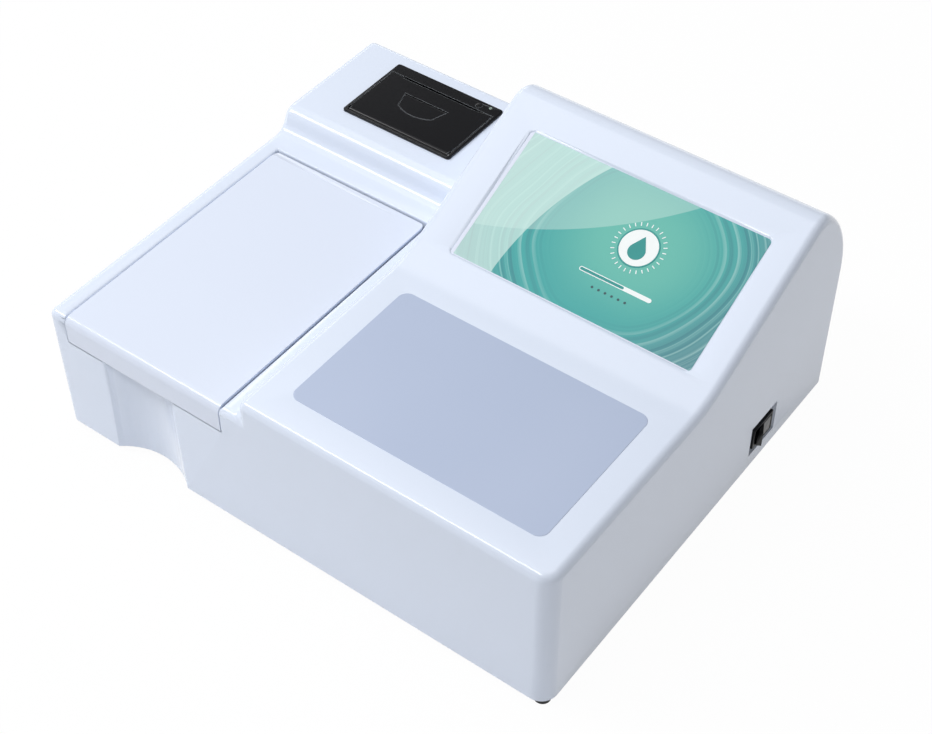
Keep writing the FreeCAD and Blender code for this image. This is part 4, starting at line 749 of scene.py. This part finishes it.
def rectangle(left, right, bottom, top):
    return [(left, bottom), (right, bottom), (right, top), (left, top)]


def flaredPlate(name, lower, low, upper, high, material):
    # a closed plate between two outlines of the same count, at two heights from the cover's face, in mm
    shape = bmesh.new()
    foot = [shape.verts.new((x * mm, y * mm, low * mm)) for x, y in lower]
    face = [shape.verts.new((x * mm, y * mm, high * mm)) for x, y in upper]
    shape.faces.new(reversed(foot))
    shape.faces.new(face)
    for index in range(len(foot)):
        after = (index + 1) % len(foot)
        shape.faces.new((foot[index], foot[after], face[after], face[index]))
    bmesh.ops.recalc_face_normals(shape, faces=shape.faces)
    mesh = bpy.data.meshes.new(name)
    shape.to_mesh(mesh)
    shape.free()
    onScreen(addPiece(name, mesh, material))


def thinPlate(name, outline, thickness, material):
    # a plate with upright sides on the cover's face
    flaredPlate(name, outline, 0, outline, thickness, material)


faceX = cover["footX"] + cover["spread"]
faceY = cover["footY"] + cover["spread"]
flaredPlate(
    "coverLens",
    rectangle(-cover["footX"], cover["footX"], -cover["footY"], cover["footY"]),
    layout["glassTop"] - layout["coverTop"] + cover["lift"],
    rectangle(-faceX, faceX, -faceY, faceY), 0, materials["screen"],
)
maskRight = -faceX + cover["maskLeft"]
maskTop = -faceY + cover["maskBottom"]
maskLine = [
    (-faceX, -faceY), (faceX, -faceY), (faceX, maskTop),
    (maskRight, maskTop), (maskRight, faceY), (-faceX, faceY),
]
thinPlate("coverMask", maskLine, cover["maskThickness"], materials["mask"])
hub = gauge["middle"]
thick = gauge["thickness"]
discRadius = gauge["discRadius"]
onScreen(grow("gaugeTicks", tickTree(), [(*hub, thick / 2)], materials["inkWhite"], {
    "Count": gauge["tickCount"], "Radius": gauge["tickRadius"] * mm,
    "Tick Length": gauge["tickLength"] * mm, "Tick Width": gauge["tickWidth"] * mm,
    "Thickness": thick * mm,
}))
thinPlate("gaugeRim", circleLine(hub, discRadius), thick, materials["inkTeal"])
thinPlate(
    "gaugeDisc", circleLine(hub, discRadius - gauge["rimWidth"]), 1.5 * thick, materials["inkWhite"]
)
thinPlate(
    "gaugeDrop", dropLine(hub, gauge["dropHeight"], gauge["dropBulge"]), 2 * thick, materials["inkTeal"]
)
barLeft = bar["middle"][0] - bar["length"] / 2
barRight = barLeft + bar["length"]
barY = bar["middle"][1]
fillLeft = barLeft + bar["rim"]
fillRight = barLeft + bar["length"] * bar["filled"]
fillHeight = bar["height"] - 2 * bar["rim"]
thinPlate("barTrack", pillLine(barLeft, barRight, barY, bar["height"]), thick, materials["inkWhite"])
thinPlate("barFill", pillLine(fillLeft, fillRight, barY, fillHeight), 1.5 * thick, materials["inkTeal"])
dotsX = bar["middle"][0] - bar["dotPitch"] * (bar["dotCount"] - 1) / 2
firstDot = (dotsX, barY - bar["dotsDrop"], thick / 2)
onScreen(grow("waitingDots", dotTree(), [firstDot], materials["inkDark"], {
    "Count": bar["dotCount"], "Pitch": bar["dotPitch"] * mm, "Dot Radius": bar["dotRadius"] * mm,
    "Thickness": thick * mm,
}))


# Printed numbers beside the wells, seen with the lid open.
numbers = {"size": 6.0, "shiftX": 9.5, "thickness": 0.12, "count": 6}


def wellNumber(index):
    # one raised number, counted from the front well
    data = bpy.data.curves.new("digit", "FONT")
    data.body = str(index + 1)
    data.size = numbers["size"] * mm
    data.align_x = "CENTER"
    data.align_y = "CENTER"
    data.extrude = numbers["thickness"] / 2 * mm
    text = bpy.data.objects.new("digit", data)
    bpy.context.scene.collection.objects.link(text)
    bpy.context.view_layer.update()
    mesh = bpy.data.meshes.new_from_object(text.evaluated_get(bpy.context.evaluated_depsgraph_get()))
    bpy.data.objects.remove(text)
    y = layout["wellFirstY"] + index * layout["wellPitch"]
    place = (layout["wellX"] + numbers["shiftX"], y, layout["trayTop"] + numbers["thickness"] / 2)
    mesh.transform(Matrix.Translation(Vector(place) * mm))
    piece = addPiece("wellNumber_%d" % (index + 1), mesh, materials["inkWhite"])
    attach(piece, "case")


for index in range(numbers["count"]):
    wellNumber(index)
print("marks made")


# Stage: pale floor, soft lights, and the camera where the photograph was taken.
studio = {
    "floorHex": "#F7F8FA",
    "floorHalf": 9.0,  # metres
    "floorWhite": 0.97,  # share of plain white that the camera and glossy rays see
    "ambient": 0.29,
    "aim": (0, 0, 0.1),
    "lamps": {
        # name: place, direction of the long side, length and width in metres, watts
        "overheadSoftbox": ((-0.2, 0.1, 1.5), (1, 0, 0), (1.5, 1.3), 6.4),
        "foldStrip": ((-0.66, -0.6, 1.3), (1, 0, 0), (1.6, 0.25), 14.5),
        "leftStrip": ((-1.12, 0.92, 0.74), (0, 1, 0), (1.2, 0.25), 2.5),
        "frontSoftbox": ((-0.5, -1.7, 0.6), (1, 0, 0), (1.2, 0.7), 0.1),
    },
}
# The camera is fitted to the photograph's own edges: degrees, metres, and a lens in mm.
view = {
    "place": (0.44909, -0.58350, 0.79356),
    "yaw": 36.865,
    "pitch": 46.047,
    "roll": 0.384,
    "lens": 70.02,
    "sensor": 36,
    "nearest": 0.05,
}


def softbox(name, place, along, size, power):
    # an area lamp aimed at the middle of the object, with its long side along one direction
    data = bpy.data.lights.new(name, "AREA")
    data.shape = "RECTANGLE"
    data.size, data.size_y = size
    data.energy = power
    lamp = bpy.data.objects.new(name, data)
    back = (Vector(place) - Vector(studio["aim"])).normalized()
    side = (Vector(along) - back * back.dot(Vector(along))).normalized()
    turn = Matrix((side, back.cross(side), back)).transposed()
    lamp.matrix_world = Matrix.Translation(place) @ turn.to_4x4()
    bpy.context.scene.collection.objects.link(lamp)


def buildFloor():
    # white to the camera and to glossy rays, painted board to the light, so it keeps the shadow
    mesh = bpy.data.meshes.new("floor")
    half = studio["floorHalf"]
    corners = [(-half, -half, 0), (half, -half, 0), (half, half, 0), (-half, half, 0)]
    mesh.from_pydata(corners, [], [(0, 1, 2, 3)])
    material, tree, body = startMaterial("paintedStudioFloor", studio["floorHex"], Roughness=0.8)
    path = addNode(tree, "ShaderNodeLightPath")
    seen = addNode(
        tree, "ShaderNodeMath",
        links={0: path.outputs["Is Camera Ray"], 1: path.outputs["Is Glossy Ray"]},
        operation="MAXIMUM",
    )
    share = addNode(
        tree, "ShaderNodeMath", {1: studio["floorWhite"]}, {0: seen.outputs[0]}, operation="MULTIPLY"
    )
    white = addNode(tree, "ShaderNodeEmission", {"Color": (1, 1, 1, 1), "Strength": 1.0})
    mix = addNode(tree, "ShaderNodeMixShader", links={
        0: share.outputs[0], 1: body.outputs[0], 2: white.outputs[0],
    })
    output = next(n for n in tree.nodes if n.type == "OUTPUT_MATERIAL")
    tree.links.new(mix.outputs[0], output.inputs["Surface"])
    addPiece("floor", mesh, material)


def buildWorld():
    # white behind the object, and a weaker even light on it
    world = bpy.data.worlds.new("studio")
    world.use_nodes = True
    tree = world.node_tree
    tree.nodes.clear()
    path = addNode(tree, "ShaderNodeLightPath")
    seen = addNode(
        tree, "ShaderNodeMath",
        links={0: path.outputs["Is Camera Ray"], 1: path.outputs["Is Transmission Ray"]},
        operation="MAXIMUM",
    )
    ambient = addNode(tree, "ShaderNodeBackground", {"Color": (1, 1, 1, 1), "Strength": studio["ambient"]})
    white = addNode(tree, "ShaderNodeBackground", {"Color": (1, 1, 1, 1), "Strength": 1.0})
    mix = addNode(tree, "ShaderNodeMixShader", links={
        0: seen.outputs[0], 1: ambient.outputs[0], 2: white.outputs[0],
    })
    addNode(tree, "ShaderNodeOutputWorld", links={"Surface": mix.outputs[0]})
    bpy.context.scene.world = world


def buildCamera():
    yaw, pitch, roll = (math.radians(view[k]) for k in ("yaw", "pitch", "roll"))
    forward = Vector((-math.sin(yaw) * math.cos(pitch), math.cos(yaw) * math.cos(pitch), -math.sin(pitch)))
    level = Vector((math.cos(yaw), math.sin(yaw), 0))
    down = forward.cross(level)
    right = level * math.cos(roll) + down * math.sin(roll)
    up = level * math.sin(roll) - down * math.cos(roll)
    data = bpy.data.cameras.new("camera")
    data.sensor_width = view["sensor"]
    data.sensor_fit = "HORIZONTAL"
    data.lens = view["lens"]
    data.clip_start = view["nearest"]
    camera = bpy.data.objects.new("camera", data)
    turn = Matrix((right, up, -forward)).transposed()
    camera.matrix_world = Matrix.Translation(view["place"]) @ turn.to_4x4()
    bpy.context.scene.collection.objects.link(camera)
    bpy.context.scene.camera = camera


buildFloor()
buildWorld()
buildCamera()
for name, lamp in studio["lamps"].items():
    softbox(name, *lamp)
bpy.context.scene.view_settings.view_transform = "Standard"
print("stage ready")
